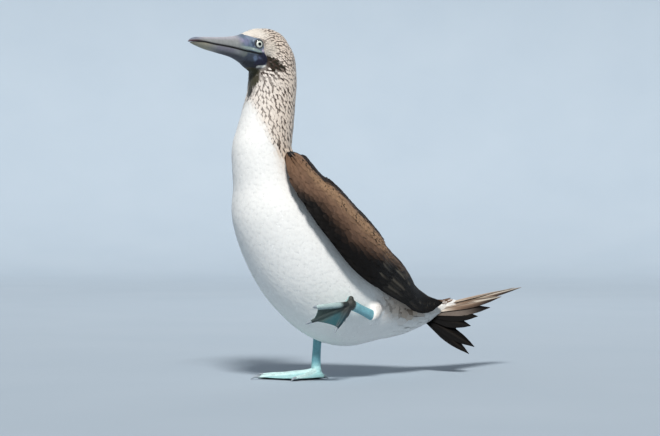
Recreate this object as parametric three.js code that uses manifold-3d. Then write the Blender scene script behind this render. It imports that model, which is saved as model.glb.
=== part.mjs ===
// A blue-footed booby, life size, standing on its right foot and lifting the left one to show the web.
// Millimetres, +Z up. The bird faces -Y and its left side is +X.
// The origin is on the floor, in the middle of the standing foot's heel pad.
import * as THREE from "three";
import { mergeVertices } from "three/addons/utils/BufferGeometryUtils.js";
import Module from "manifold-3d";

const wasm = await Module();
wasm.setup();

// Driving sizes
const GAP = 0.3;
const MIDLINE = 12; // the body's middle plane, to the left of the standing foot
const WIDE = 0.93; // half width of the body over its girth radius
const DEEP = 1.03; // half depth of the body over its girth radius

// The body's line from inside the head to the tail's root: place in the middle plane and girth radius.
const SPINE = [
  { y: -103, z: 452, r: 12 },
  { y: -89, z: 444, r: 26 },
  { y: -79.5, z: 427, r: 31.5 },
  { y: -78.5, z: 411, r: 33 },
  { y: -79, z: 394, r: 33.7 },
  { y: -81.5, z: 374, r: 34.6 },
  { y: -87, z: 347, r: 37.4 },
  { y: -93, z: 321, r: 40 },
  { y: -95.5, z: 303, r: 42.5 },
  { y: -85.5, z: 268.5, r: 50.5 },
  { y: -72, z: 233, r: 65.2 },
  { y: -46, z: 196, r: 75.4 },
  { y: -11.5, z: 155, r: 79.6 },
  { y: 31.5, z: 119.5, r: 76.4 },
  { y: 81, z: 100, r: 59.4 },
  { y: 126, z: 85, r: 32.5 },
  { y: 170, z: 86, r: 18.3 },
  { y: 212, z: 93, r: 8 },
];
const HEAD_END = 3.7; // stations along the spine where the nodes meet
const NECK_END = 7.6;
const TORSO_END = 16;
const TAIL_ROOT_END = 16.8;
const AROUND_BODY = 24;

// The head's own frame: forward along the bill, left, and up from the eye's level
const HEAD = { y: -95, z: 442, turn: THREE.MathUtils.degToRad(12) };
const BILL_BASE = 40.6;
const BILL_TIP = 132.6;
const LOWER_TIP = 128;
const HEAD_SECTIONS = [
  { at: -42.7, wide: 3, top: 9.1, bottom: -0.7 },
  { at: -38.6, wide: 11.8, top: 15.7, bottom: -9.9 },
  { at: -26.3, wide: 20.6, top: 23.6, bottom: -22.6 },
  { at: -11.1, wide: 24.9, top: 27.2, bottom: -29.4 },
  { at: 4, wide: 24.8, top: 26.9, bottom: -32.4 },
  { at: 15.9, wide: 21.8, top: 24.5, bottom: -32.7 },
  { at: 25.8, wide: 18.8, top: 20.7, bottom: -29.2 },
  { at: 34.7, wide: 15.9, top: 17.4, bottom: -24.2 },
  { at: 45.4, wide: 13.2, top: 13.6, bottom: -19.6 },
  { at: 60, wide: 10.7, top: 10.8, bottom: -15.4 },
  { at: 82, wide: 8, top: 8.3, bottom: -12.2 },
  { at: 105.6, wide: 5.6, top: 6.7, bottom: -8.7 },
  { at: 121.5, wide: 3.7, top: 5.1, bottom: -4.9 },
  { at: 128.9, wide: 2.2, top: 2.6, bottom: -2.6 },
  { at: 132.6, wide: 0.7, top: -0.8, bottom: -2 },
];
const MOUTH = [
  { at: 19.9, up: -10.7 },
  { at: 37.6, up: -7.9 },
  { at: 64.8, up: -4 },
  { at: 93.4, up: -1.7 },
  { at: 111.2, up: 0 },
  { at: 132.6, up: -1.4 },
];
const AROUND_HEAD = 20;
const AROUND_EYE = [14, 9];
const RIDGE = { narrow: 0.22, from: 25.6, to: 60.6 }; // how much the bill narrows towards its ridge
const EYE = { at: 24.3, up: 2.2, ball: 7.4, opening: 5, lid: 1.1, sunk: 0.985, proud: 0.4 };
const GAPE = { start: 20, thick: 0.7 }; // the mouth's line cut into the cheek
const MOUTH_CUT = { half: 40, far: 60, steps: 9 }; // the sheet that parts the bill, past it on all sides

// The folded wing's outer surface round the same spine: half width and half height at each station,
// and how far round from the back its two edges lie, in degrees
const WING = [
  { k: 8, side: 37, back: 38.9, top: 52, low: 60 },
  { k: 8.35, side: 48.6, back: 49.6, top: 34, low: 80 },
  { k: 9, side: 58.5, back: 63.4, top: 27, low: 88 },
  { k: 10, side: 74.5, back: 78.9, top: 20, low: 87 },
  { k: 11, side: 83.7, back: 87.7, top: 13, low: 86 },
  { k: 12, side: 87.4, back: 94.8, top: 8, low: 84 },
  { k: 13, side: 83, back: 92, top: 5, low: 80 },
  { k: 14, side: 68, back: 75.5, top: 4, low: 80 },
  { k: 15, side: 49.2, back: 56, top: 5, low: 84 },
  { k: 16, side: 32.1, back: 31.5, top: 10, low: 82 },
  { k: 16.8, side: 23.9, back: 17, top: 30, low: 70 },
];
const WING_CORE_END = 14.6;
const WING_CORE_THICK = { front: 16, rear: 5, edge: 0.45 };
const WING_CORE_SINK = 3; // how far the core lies under the feathers at its rear
// Feather tiers of the wing, from under to over: roots and tips as station and share of the way
// from the top edge to the lower edge, for the first and the last feather of each tier
const WING_TIERS = [
  {
    name: "primary",
    count: 5,
    root: [[12.6, 0.84], [13.4, 0.3]],
    tip: [[16.8, 0.9], [16.3, 0.42]],
    wide: 13,
    lift: -1.4,
  },
  {
    name: "secondary",
    count: 6,
    root: [[11.6, 0.87], [12.3, 0.12]],
    tip: [[14.7, 0.86], [15.5, 0.26]],
    wide: 15,
    lift: -0.2,
  },
  {
    name: "greater covert",
    count: 6,
    root: [[10.4, 0.89], [10.8, 0.12]],
    tip: [[12.9, 0.92], [13.7, 0.12]],
    wide: 15,
    lift: 1,
  },
  {
    name: "median covert",
    count: 5,
    root: [[9.3, 0.88], [9.5, 0.14]],
    tip: [[11.2, 0.92], [11.8, 0.12]],
    wide: 15,
    lift: 1.8,
  },
];
const VANE_THICK = 1.5;
const VANE_STEPS = 4;
const VANE_ROOT_LIFT = -3.5; // a wing feather starts this far under the wing's surface
const VANE_DROP = 0.04; // how far its edges bend down, as a share of its half width

// Tail feathers on each side from the middle out: length, how far each fans out, how far it rises
// and how far its face turns to the side, so that the tail makes a tent
const TAIL_FEATHERS = [
  { long: 181, out: 3, rise: 9.5, roll: 14, wide: 11.5 },
  { long: 133, out: 9, rise: 8, roll: 26, wide: 12.5 },
  { long: 106, out: 16, rise: 2.5, roll: 40, wide: 12 },
  { long: 83, out: 24, rise: -4.5, roll: 52, wide: 12 },
  { long: 73, out: 32, rise: -15, roll: 60, wide: 12 },
  { long: 89, out: 41, rise: -32, roll: 64, wide: 11.5 },
  { long: 89, out: 49, rise: -39, roll: 66, wide: 10 },
];
// The right half is spread and droops less than the left: these shares of it
const TAIL_RIGHT = { out: 0.42, rise: 0.55 };
const TAIL_PIVOT = 16;
const TAIL_HEIGHT = { first: 1.2, step: 0.9 }; // the middle feathers lie over the outer ones

// Feet: the tarsus, and each toe's length and heading from the middle toe, in degrees towards the
// middle of the body
const TARSUS = { front: 6.6, side: 4.6 };
const TOES = [
  { name: "hallux", long: 34, heading: 104, thick: 2.9, claw: 6 },
  { name: "inner", long: 65, heading: 45, thick: 3.4, claw: 8 },
  { name: "middle", long: 91, heading: 0, thick: 3.8, claw: 10 },
  { name: "outer", long: 86, heading: -31, thick: 3.6, claw: 8 },
];
const KNUCKLE = 0.45; // where along a toe it bends
const TOE_SWELL = [1.35, 1.05, 1.12, 0.95, 0.95, 0.6]; // each toe's joints, from its root to its end
const TOE_FLAT = 0.9;
const JOINT = 8;
const WEB = { thick: 1.6, sag: 0.12, start: 0.04, end: 0.96 }; // along the toes, hollow by sag
const FOOT_TOP = 16.5; // where the standing foot meets its tarsus
const RAISED_FOOT_END = 5; // and the raised one, past its joint
const HEEL = { radius: 9, long: 1.15, flat: 0.8, high: 5 };
const REST = 2.1; // height of the standing foot's claw tips
const ARCH = { standing: -1.5, raised: -2 }; // how far the toes' middles bend, towards the sole
const STANDING = { ankle: [0, 3, 64], joint: [0, 0, 10.5], toeOut: THREE.MathUtils.degToRad(20) };
const RAISED = {
  ankle: [80, 34.5, 88],
  joint: [91.5, -8.7, 104],
  tips: [[94, -20, 81], [108, -45, 69], [97, -84, 80], [106, -79, 102]],
};
// The feathered bulge of each thigh: from inside the body to the ankle, with its radii
const THIGHS = [
  { places: [[48, 42, 100], [67, 41, 93], [78.5, 36.5, 88], [81, 31.5, 89]], radii: [28, 23, 15, 5.5] },
  { places: [[2, 24, 96], [0, 12, 70], [0, 5, 53]], radii: [26, 17, 9] },
];

const materials = {
  white: new THREE.MeshStandardMaterial({ color: 0xeeece8, roughness: 0.9, metalness: 0 }),
  streaked: new THREE.MeshStandardMaterial({ color: 0xb9a998, roughness: 0.9, metalness: 0 }),
  brown: new THREE.MeshStandardMaterial({ color: 0x4a382c, roughness: 0.8, metalness: 0 }),
  bill: new THREE.MeshStandardMaterial({ color: 0x7f8a90, roughness: 0.45, metalness: 0 }),
  skin: new THREE.MeshStandardMaterial({ color: 0x7cc4cf, roughness: 0.5, metalness: 0 }),
  eye: new THREE.MeshStandardMaterial({ color: 0xe6e2b8, roughness: 0.1, metalness: 0 }),
};

const group = new THREE.Group();
const X = new THREE.Vector3(1, 0, 0);

function vec(x, y, z) {
  return new THREE.Vector3(x, y, z);
}

// Smooth run through a list of named values, read by its key
function through(list, key, names, at) {
  let i = 0;
  while (i < list.length - 2 && at > list[i + 1][key]) i += 1;
  const a = list[Math.max(i - 1, 0)];
  const b = list[i];
  const c = list[i + 1];
  const d = list[Math.min(i + 2, list.length - 1)];
  const span = c[key] - b[key];
  const t = THREE.MathUtils.clamp((at - b[key]) / span, 0, 1);
  const out = {};
  for (const name of names) {
    const slopeB = ((c[name] - a[name]) / Math.max(c[key] - a[key], 1e-6)) * span;
    const slopeC = ((d[name] - b[name]) / Math.max(d[key] - b[key], 1e-6)) * span;
    const t2 = t * t;
    const t3 = t2 * t;
    const places = (2 * t3 - 3 * t2 + 1) * b[name] + (3 * t2 - 2 * t3) * c[name];
    out[name] = places + (t3 - 2 * t2 + t) * slopeB + (t3 - t2) * slopeC;
  }
  return out;
}

// A geometry from its corners and closed triangle list, turned to face out
function geometryOf(points, triangles) {
  let volume = 0;
  for (const [a, b, c] of triangles) {
    volume += points[a].dot(points[b].clone().cross(points[c]));
  }
  const outward = volume > 0 ? triangles : triangles.map(([a, b, c]) => [a, c, b]);
  return new THREE.BufferGeometry().setFromPoints(points).setIndex(outward.flat());
}

// The solid inside a closed geometry
function solidFrom(geometry) {
  geometry.deleteAttribute("normal");
  geometry.deleteAttribute("uv");
  const merged = mergeVertices(geometry, 1e-4);
  const triangles = [];
  for (let i = 0; i < merged.index.count; i += 3) {
    const [a, b, c] = [0, 1, 2].map((n) => merged.index.getX(i + n));
    if (a !== b && b !== c && c !== a) triangles.push(a, b, c);
  }
  return new wasm.Manifold(
    new wasm.Mesh({
      numProp: 3,
      vertProperties: new Float32Array(merged.getAttribute("position").array),
      triVerts: new Uint32Array(triangles),
    }),
  );
}

// A block that fills everything past a plane, to cut a solid off there
function beyond(point, normal) {
  const size = 900;
  const turn = new THREE.Quaternion().setFromUnitVectors(vec(0, 0, 1), normal.clone().normalize());
  const block = new THREE.BoxGeometry(size, size, size).translate(0, 0, size / 2);
  return solidFrom(block.applyMatrix4(new THREE.Matrix4().compose(point, turn, vec(1, 1, 1))));
}

function union(solids) {
  return solids.reduce((whole, next) => whole.add(next));
}

// Keeps a node's largest closed surface
function largest(solid) {
  return solid.decompose().sort((a, b) => b.volume() - a.volume())[0];
}

function addNode(name, solid, material) {
  const made = largest(solid).getMesh();
  const geometry = new THREE.BufferGeometry();
  geometry.setAttribute("position", new THREE.BufferAttribute(Float32Array.from(made.vertProperties), 3));
  geometry.setIndex(new THREE.BufferAttribute(Uint32Array.from(made.triVerts), 1));
  geometry.computeVertexNormals();
  const mesh = new THREE.Mesh(geometry, material);
  mesh.name = name;
  group.add(mesh);
}

// A closed skin over a row of rings, with a fan at each end
function loft(rings) {
  const n = rings[0].length;
  const points = rings.flat();
  const triangles = [];
  for (let i = 0; i < rings.length - 1; i += 1) {
    for (let j = 0; j < n; j += 1) {
      const a = i * n + j;
      const b = i * n + ((j + 1) % n);
      triangles.push([a, b, b + n], [a, b + n, a + n]);
    }
  }
  const last = (rings.length - 1) * n;
  for (const [start, back] of [[0, true], [last, false]]) {
    const hub = points.length;
    const middle = vec(0, 0, 0);
    for (let j = 0; j < n; j += 1) middle.addScaledVector(points[start + j], 1 / n);
    points.push(middle);
    for (let j = 0; j < n; j += 1) {
      const a = start + j;
      const b = start + ((j + 1) % n);
      triangles.push(back ? [hub, b, a] : [hub, a, b]);
    }
  }
  return solidFrom(geometryOf(points, triangles));
}

// Two matching faces over rows of three points: edge, middle and edge. Both faces split alike.
function blade(rows) {
  const points = rows.flatMap(({ left, over, right, under }) => [left, over, right, under]);
  const triangles = [];
  for (let i = 0; i < rows.length - 1; i += 1) {
    const a = 4 * i;
    const b = a + 4;
    for (const [middle, flip] of [[1, false], [3, true]]) {
      for (const [p, q] of [[0, middle], [middle, 2]]) {
        const pair = [[a + p, a + q, b + q], [a + p, b + q, b + p]];
        for (const [u, v, w] of pair) triangles.push(flip ? [u, w, v] : [u, v, w]);
      }
    }
  }
  const end = 4 * (rows.length - 1);
  triangles.push([0, 2, 1], [0, 3, 2], [end, end + 1, end + 2], [end, end + 2, end + 3]);
  return solidFrom(geometryOf(points, triangles));
}

// The body's section at a station of the spine
function bodySection(k) {
  const keyed = SPINE.map((s, i) => ({ ...s, k: i }));
  const here = through(keyed, "k", ["y", "z", "r"], k);
  const ahead = through(keyed, "k", ["y", "z"], Math.min(k + 0.05, SPINE.length - 1));
  const behind = through(keyed, "k", ["y", "z"], Math.max(k - 0.05, 0));
  const along = vec(0, ahead.y - behind.y, ahead.z - behind.z).normalize();
  const back = vec(0, -along.z, along.y);
  return { centre: vec(MIDLINE, here.y, here.z), along, back, r: here.r };
}

function bodyRing(k, grow = 0, shift = 0) {
  const { centre, along, back, r } = bodySection(k);
  return Array.from({ length: AROUND_BODY }, (_, j) => {
    const turn = (2 * Math.PI * j) / AROUND_BODY;
    return centre
      .clone()
      .addScaledVector(along, shift)
      .addScaledVector(X, (r * WIDE + grow) * Math.sin(turn))
      .addScaledVector(back, (r * DEEP + grow) * Math.cos(turn));
  });
}

function bodyLength(from, to, steps, grow = 0, startShift = 0) {
  return loft(
    Array.from({ length: steps + 1 }, (_, i) => {
      const k = THREE.MathUtils.lerp(from, to, i / steps);
      return bodyRing(k, grow, i ? 0 : startShift);
    }),
  );
}

// The head: a place in its own frame
const headForward = vec(Math.sin(HEAD.turn), -Math.cos(HEAD.turn), 0);
const headLeft = vec(Math.cos(HEAD.turn), Math.sin(HEAD.turn), 0);

function headPoint(at, left, up) {
  return vec(MIDLINE, HEAD.y, HEAD.z + up).addScaledVector(headForward, at).addScaledVector(headLeft, left);
}

function headSection(at) {
  return through(HEAD_SECTIONS, "at", ["wide", "top", "bottom"], at);
}

function mouthAt(at) {
  return through(MOUTH, "at", ["up"], at).up;
}

// A section's outline round the head: wide below the crown and narrow along the bill's ridge
function headRing(at) {
  const { wide, top, bottom } = headSection(at);
  const level = (top + bottom) / 2;
  const ridge = THREE.MathUtils.smoothstep(at, RIDGE.from, RIDGE.to) * RIDGE.narrow;
  return Array.from({ length: AROUND_HEAD }, (_, j) => {
    const turn = (2 * Math.PI * j) / AROUND_HEAD;
    const rise = Math.cos(turn);
    const narrow = 1 - ridge * rise * rise;
    return headPoint(at, wide * Math.sin(turn) * narrow, level + ((top - bottom) / 2) * rise);
  });
}

function headLoft(from, to, steps) {
  return loft(Array.from({ length: steps + 1 }, (_, i) => headRing(from + ((to - from) * i) / steps)));
}

// A thin curved sheet along the line of the mouth, wider than the bill
function mouthSheet(from, to, thick) {
  const { half, steps } = MOUTH_CUT;
  return loft(
    Array.from({ length: steps + 1 }, (_, i) => {
      const at = from + ((to - from) * i) / steps;
      const up = mouthAt(at);
      const rise = thick / 2;
      return [
        headPoint(at, -half, up - rise),
        headPoint(at, half, up - rise),
        headPoint(at, half, up + rise),
        headPoint(at, -half, up + rise),
      ];
    }),
  );
}

// Everything above, or below, the line of the mouth
function mouthBlock(from, to, above) {
  const { half, steps } = MOUTH_CUT;
  return loft(
    Array.from({ length: steps + 1 }, (_, i) => {
      const at = from + ((to - from) * i) / steps;
      const up = mouthAt(at) + (above ? GAP / 2 : -GAP / 2);
      const far = above ? MOUTH_CUT.far : -MOUTH_CUT.far;
      const corners = [[-half, up], [half, up], [half, far], [-half, far]];
      return corners.map(([left, level]) => headPoint(at, left, level));
    }),
  );
}

function eyePlace(sideSign) {
  const { wide } = headSection(EYE.at);
  const near = 4;
  const slope = (headSection(EYE.at + near).wide - headSection(EYE.at - near).wide) / (2 * near);
  const out = headLeft.clone().multiplyScalar(sideSign).addScaledVector(headForward, -slope).normalize();
  const surface = headPoint(EYE.at, sideSign * wide * EYE.sunk, EYE.up);
  const depth = Math.sqrt(EYE.ball ** 2 - EYE.opening ** 2) - EYE.proud;
  return { out, surface, centre: surface.clone().addScaledVector(out, -depth) };
}

function ball(centre, radius, across, down) {
  return solidFrom(new THREE.SphereGeometry(radius, across, down).translate(centre.x, centre.y, centre.z));
}

function lidRing({ out, surface }) {
  const ring = new THREE.TorusGeometry(EYE.opening + EYE.lid * 0.9, EYE.lid, 5, 14);
  const turn = new THREE.Quaternion().setFromUnitVectors(vec(0, 0, 1), out);
  const place = new THREE.Matrix4().compose(surface.clone().addScaledVector(out, -0.3), turn, vec(1, 1, 1));
  return solidFrom(ring.applyMatrix4(place));
}

function buildHead() {
  const skull = headLoft(HEAD_SECTIONS[0].at, BILL_BASE, 11);
  const nape = bodyLength(0, HEAD_END, 8);
  const lids = [1, -1].map((s) => lidRing(eyePlace(s)));
  const sockets = [1, -1].map((s) => ball(eyePlace(s).centre, EYE.ball + GAP, ...AROUND_EYE));
  const mouth = mouthSheet(GAPE.start, BILL_BASE + 5, GAPE.thick);
  const head = union([skull, nape, ...lids]).subtract(union([...sockets, mouth]));
  addNode("head", head, materials.streaked);
  [["eye_left", 1], ["eye_right", -1]].forEach(([name, s]) => {
    addNode(name, ball(eyePlace(s).centre, EYE.ball, ...AROUND_EYE), materials.eye);
  });
}

function buildBill() {
  const bill = headLoft(BILL_BASE + GAP, BILL_TIP, 12);
  addNode("bill_upper", bill.intersect(mouthBlock(BILL_BASE - 5, BILL_TIP + 5, true)), materials.bill);
  const lower = bill.intersect(mouthBlock(BILL_BASE - 5, LOWER_TIP, false));
  addNode("bill_lower", lower, materials.bill);
}

// The wing's outer surface on the left side, at a station and a share of the way from its top
// edge to its lower edge, lifted out by some millimetres
function wingPoint(k, share, lift, sideSign) {
  const { centre, back } = bodySection(k);
  const w = through(WING, "k", ["side", "back", "top", "low"], k);
  const turn = THREE.MathUtils.degToRad(w.top + (w.low - w.top) * share);
  return centre
    .clone()
    .addScaledVector(X, sideSign * (w.side + lift) * Math.sin(turn))
    .addScaledVector(back, (w.back + lift) * Math.cos(turn));
}

function wingCore(sideSign) {
  const across = 7;
  const steps = 13;
  const first = WING[0].k;
  const rings = [];
  for (let i = 0; i <= steps; i += 1) {
    const k = first + ((WING_CORE_END - first) * i) / steps;
    const t = i / steps;
    const thick = THREE.MathUtils.lerp(WING_CORE_THICK.front, WING_CORE_THICK.rear, t);
    const sink = WING_CORE_SINK * THREE.MathUtils.smoothstep(t, 0.5, 1);
    const outer = Array.from({ length: across + 1 }, (_, j) => wingPoint(k, j / across, -sink, sideSign));
    const inner = Array.from({ length: across + 1 }, (_, j) => {
      const edge = Math.abs((2 * j) / across - 1) ** 3;
      const depth = thick * THREE.MathUtils.lerp(1, WING_CORE_THICK.edge, edge);
      return wingPoint(k, 1 - j / across, -sink - depth, sideSign);
    });
    rings.push([...outer, ...inner]);
  }
  return loft(rings);
}

// A feather on the wing, from its root to its tip
function wingVane(root, tip, wide, lift, sideSign) {
  const rows = [];
  for (let i = 0; i <= VANE_STEPS; i += 1) {
    const t = i / VANE_STEPS;
    const k = THREE.MathUtils.lerp(root[0], tip[0], t);
    const share = THREE.MathUtils.lerp(root[1], tip[1], t);
    const high = THREE.MathUtils.lerp(VANE_ROOT_LIFT, lift, Math.min(1, t * 2.2));
    const middle = wingPoint(k, share, high, sideSign);
    const step = 0.04;
    const slant = (tip[1] - root[1]) / (tip[0] - root[0]);
    const along = wingPoint(k + step, share + slant * step, high, sideSign);
    const out = wingPoint(k, share, high + 1, sideSign).sub(middle).normalize();
    const side = along.sub(middle).normalize().cross(out).normalize();
    const half = wide * (t < 0.55 ? 0.75 + 0.45 * t : Math.sqrt(Math.max(0, 1 - ((t - 0.55) / 0.46) ** 2)));
    const thick = VANE_THICK * (0.75 - 0.35 * t);
    rows.push({
      left: middle.clone().addScaledVector(side, -half).addScaledVector(out, -VANE_DROP * half),
      over: middle.clone().addScaledVector(out, thick),
      right: middle.clone().addScaledVector(side, half).addScaledVector(out, -VANE_DROP * half),
      under: middle.clone().addScaledVector(out, -thick * 0.6),
    });
  }
  return blade(rows);
}

function wing(sideSign) {
  const vanes = [];
  for (const tier of WING_TIERS) {
    for (let i = 0; i < tier.count; i += 1) {
      const t = i / (tier.count - 1);
      const between = ([from, to]) => from.map((v, n) => THREE.MathUtils.lerp(v, to[n], t));
      vanes.push(wingVane(between(tier.root), between(tier.tip), tier.wide, tier.lift + 0.25 * t, sideSign));
    }
  }
  return union([wingCore(sideSign), ...vanes]);
}

function thigh({ places, radii }) {
  const line = places.map((p) => vec(...p));
  return tube(line, radii.map((r) => [r, r]), 14, X);
}

function buildBody() {
  addNode("neck", bodyLength(HEAD_END, NECK_END, 11, 0, GAP), materials.streaked);
  const sockets = union([tarsus(standingShin(), GAP), tarsus(raisedShin(), GAP)]);
  const body = union([bodyLength(NECK_END, TORSO_END, 22, 0, GAP), ...THIGHS.map(thigh)]);
  addNode("torso", body.subtract(sockets), materials.white);
}

function buildWings() {
  const clearOfBody = bodyLength(NECK_END - 2, TAIL_ROOT_END, 26, 0.45);
  [["wing_left", 1], ["wing_right", -1]].forEach(([name, side]) => {
    const otherSide = beyond(vec(MIDLINE + (side * GAP) / 2, 0, 0), vec(-side, 0, 0));
    addNode(name, wing(side).subtract(clearOfBody).subtract(otherSide), materials.brown);
  });
}

// A tail feather, drooping a little towards its tip
function tailVane({ long, out, rise, roll, wide }, sideSign, order) {
  const { centre, along } = bodySection(TAIL_PIVOT);
  const spread = sideSign > 0 ? 1 : TAIL_RIGHT.out;
  const droop = sideSign < 0 && rise < 0 ? TAIL_RIGHT.rise : 1;
  const yaw = THREE.MathUtils.degToRad(out * spread) * sideSign;
  const pitch = THREE.MathUtils.degToRad(rise * droop);
  const ahead = vec(Math.sin(yaw) * Math.cos(pitch), Math.cos(yaw) * Math.cos(pitch), Math.sin(pitch));
  const tilt = THREE.MathUtils.degToRad(roll) * sideSign;
  const normal = vec(Math.sin(tilt), 0, Math.cos(tilt));
  const side = ahead.clone().cross(normal).normalize();
  const up = side.clone().cross(ahead).normalize();
  const rows = [];
  for (let i = 0; i <= VANE_STEPS + 1; i += 1) {
    const t = i / (VANE_STEPS + 1);
    const middle = centre
      .clone()
      .addScaledVector(along, 2)
      .addScaledVector(up, TAIL_HEIGHT.first - TAIL_HEIGHT.step * order)
      .addScaledVector(ahead, long * t);
    const half = wide * (t < 0.5 ? 0.55 + 0.9 * t : Math.max(0.08, 1 - ((t - 0.5) / 0.5) ** 2.2));
    const thick = VANE_THICK * (0.8 - 0.4 * t);
    rows.push({
      left: middle.clone().addScaledVector(side, -half),
      over: middle.clone().addScaledVector(up, thick),
      right: middle.clone().addScaledVector(side, half),
      under: middle.clone().addScaledVector(up, -thick * 0.6),
    });
  }
  return blade(rows);
}

function buildTail() {
  const root = bodyLength(TORSO_END, TAIL_ROOT_END, 5, 0, GAP);
  const { centre, along } = bodySection(TORSO_END);
  const inTorso = beyond(centre.clone().addScaledVector(along, GAP), along.clone().negate());
  const vanes = [1, -1].flatMap((s) => TAIL_FEATHERS.map((f, order) => tailVane(f, s, order)));
  addNode("tail", union([root, ...vanes]).subtract(inTorso), materials.brown);
}

// A tube with its own radii along a smooth line
function tube(places, radii, around, side) {
  const line = new THREE.CatmullRomCurve3(places, false, "centripetal");
  const steps = radii.length - 1;
  return loft(
    radii.map(([across, over], i) => {
      const t = i / steps;
      const middle = line.getPoint(t);
      const along = line.getTangent(t);
      const right = side.clone().addScaledVector(along, -side.dot(along)).normalize();
      const up = right.clone().cross(along).normalize();
      return Array.from({ length: around }, (_, j) => {
        const turn = (2 * Math.PI * j) / around;
        return middle
          .clone()
          .addScaledVector(right, across * Math.cos(turn))
          .addScaledVector(up, over * Math.sin(turn));
      });
    }),
  );
}

// A foot: four toes with claws, joined by webs. dorsal is the way the foot's upper side faces.
function foot(joint, tips, dorsal, arch) {
  const ways = tips.map((tip) => tip.clone().sub(joint).normalize());
  const ends = tips.map((tip, i) => tip.clone().addScaledVector(ways[i], -TOES[i].claw));
  const lines = ends.map((end) => {
    const knuckle = joint.clone().lerp(end, KNUCKLE).addScaledVector(dorsal, arch);
    return new THREE.CatmullRomCurve3([joint.clone(), knuckle, end], false, "centripetal");
  });
  const pieces = [ball(joint, JOINT, 10, 7)];
  lines.forEach((line, i) => {
    const { thick, claw } = TOES[i];
    const side = ways[i].clone().cross(dorsal).normalize();
    const radii = TOE_SWELL.map((f) => [thick * f, thick * f * TOE_FLAT]);
    pieces.push(tube(line.getPoints(4), radii, 7, side));
    const nail = tips[i].clone().addScaledVector(dorsal, -claw * 0.15);
    const nailRoot = ends[i].clone().addScaledVector(ways[i], -3).addScaledVector(dorsal, 0.6);
    const nailMiddle = nailRoot.clone().lerp(nail, 0.5).addScaledVector(dorsal, claw * 0.12);
    pieces.push(tube([nailRoot, nailMiddle, nail], [[2.2, 1.7], [1.7, 1.4], [0.5, 0.5]], 5, side));
  });
  for (let i = 0; i < lines.length - 1; i += 1) pieces.push(web(lines[i], lines[i + 1], dorsal));
  return union(pieces);
}

// A thin skin between two toes, with a hollow margin
function web(lineA, lineB, dorsal) {
  const along = 6;
  const across = 4;
  const points = [];
  const index = (i, j, face) => (i * (across + 1) + j) * 2 + face;
  for (let i = 0; i <= along; i += 1) {
    for (let j = 0; j <= across; j += 1) {
      const v = j / across;
      const reach = WEB.end - WEB.sag * 4 * v * (1 - v);
      const t = THREE.MathUtils.lerp(WEB.start, reach, i / along);
      const middle = lineA.getPoint(t).lerp(lineB.getPoint(t), v);
      points.push(middle.clone().addScaledVector(dorsal, WEB.thick / 2));
      points.push(middle.clone().addScaledVector(dorsal, -WEB.thick / 2));
    }
  }
  const triangles = [];
  for (let i = 0; i < along; i += 1) {
    for (let j = 0; j < across; j += 1) {
      for (const face of [0, 1]) {
        const a = index(i, j, face);
        const b = index(i, j + 1, face);
        const c = index(i + 1, j + 1, face);
        const d = index(i + 1, j, face);
        triangles.push(...(face ? [[a, c, b], [a, d, c]] : [[a, b, c], [a, c, d]]));
      }
    }
  }
  const rim = [];
  for (let j = 0; j < across; j += 1) rim.push([[0, j + 1], [0, j]], [[along, j], [along, j + 1]]);
  for (let i = 0; i < along; i += 1) rim.push([[i, 0], [i + 1, 0]], [[i + 1, across], [i, across]]);
  for (const [p, q] of rim) {
    const [a, b] = [index(...p, 0), index(...q, 0)];
    triangles.push([a, b, b + 1], [a, b + 1, a + 1]);
  }
  return solidFrom(geometryOf(points, triangles));
}

function buildStandingLeg() {
  const joint = vec(...STANDING.joint);
  const forward = vec(-Math.sin(STANDING.toeOut), -Math.cos(STANDING.toeOut), 0);
  const inward = vec(Math.cos(STANDING.toeOut), -Math.sin(STANDING.toeOut), 0);
  const tips = TOES.map(({ long, heading }) => {
    const turn = THREE.MathUtils.degToRad(heading);
    return joint
      .clone()
      .addScaledVector(forward, long * Math.cos(turn))
      .addScaledVector(inward, long * Math.sin(turn))
      .setZ(REST);
  });
  const pad = new THREE.SphereGeometry(HEEL.radius, 12, 7).scale(1, HEEL.long, HEEL.flat);
  const heel = solidFrom(pad.translate(0, 0, HEEL.high));
  const sole = foot(joint, tips, vec(0, 0, 1), ARCH.standing).add(heel);
  const down = beyond(vec(0, 0, 0), vec(0, 0, -1));
  const above = beyond(vec(0, 0, FOOT_TOP), vec(0, 0, 1));
  const standing = sole.subtract(down).subtract(above);
  addNode("foot_right", standing, materials.skin);
  addNode("leg_right", tarsus(standingShin()), materials.skin);
}

function tarsus(places, grow = 0) {
  const { front, side } = TARSUS;
  const radii = [1.12, 1, 0.96, 1, 1.1].map((f) => [side * f + grow, front * f + grow]);
  return tube(places, radii, 12, X);
}

function standingShin() {
  return [vec(0, 0, FOOT_TOP + GAP), vec(0, 0.5, 30), vec(...STANDING.ankle)];
}

function raisedShin() {
  const joint = vec(...RAISED.joint);
  const ankle = vec(...RAISED.ankle);
  const up = ankle.clone().sub(joint).normalize();
  const from = joint.clone().addScaledVector(up, RAISED_FOOT_END + GAP);
  return [from, from.clone().lerp(ankle, 0.5), ankle];
}

function buildRaisedLeg() {
  const joint = vec(...RAISED.joint);
  const ankle = vec(...RAISED.ankle);
  const tips = RAISED.tips.map((p) => vec(...p));
  const [, inner, middle, outer] = tips;
  const dorsal = inner.clone().sub(outer).cross(middle.clone().sub(joint)).normalize();
  const raised = foot(joint, tips, dorsal, ARCH.raised);
  const up = ankle.clone().sub(joint).normalize();
  const inShin = beyond(joint.clone().addScaledVector(up, RAISED_FOOT_END), up);
  addNode("foot_left", raised.subtract(inShin), materials.skin);
  addNode("leg_left", tarsus(raisedShin()), materials.skin);
}

buildHead();
buildBill();
buildBody();
buildWings();
buildTail();
buildStandingLeg();
buildRaisedLeg();

export default group;
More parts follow.
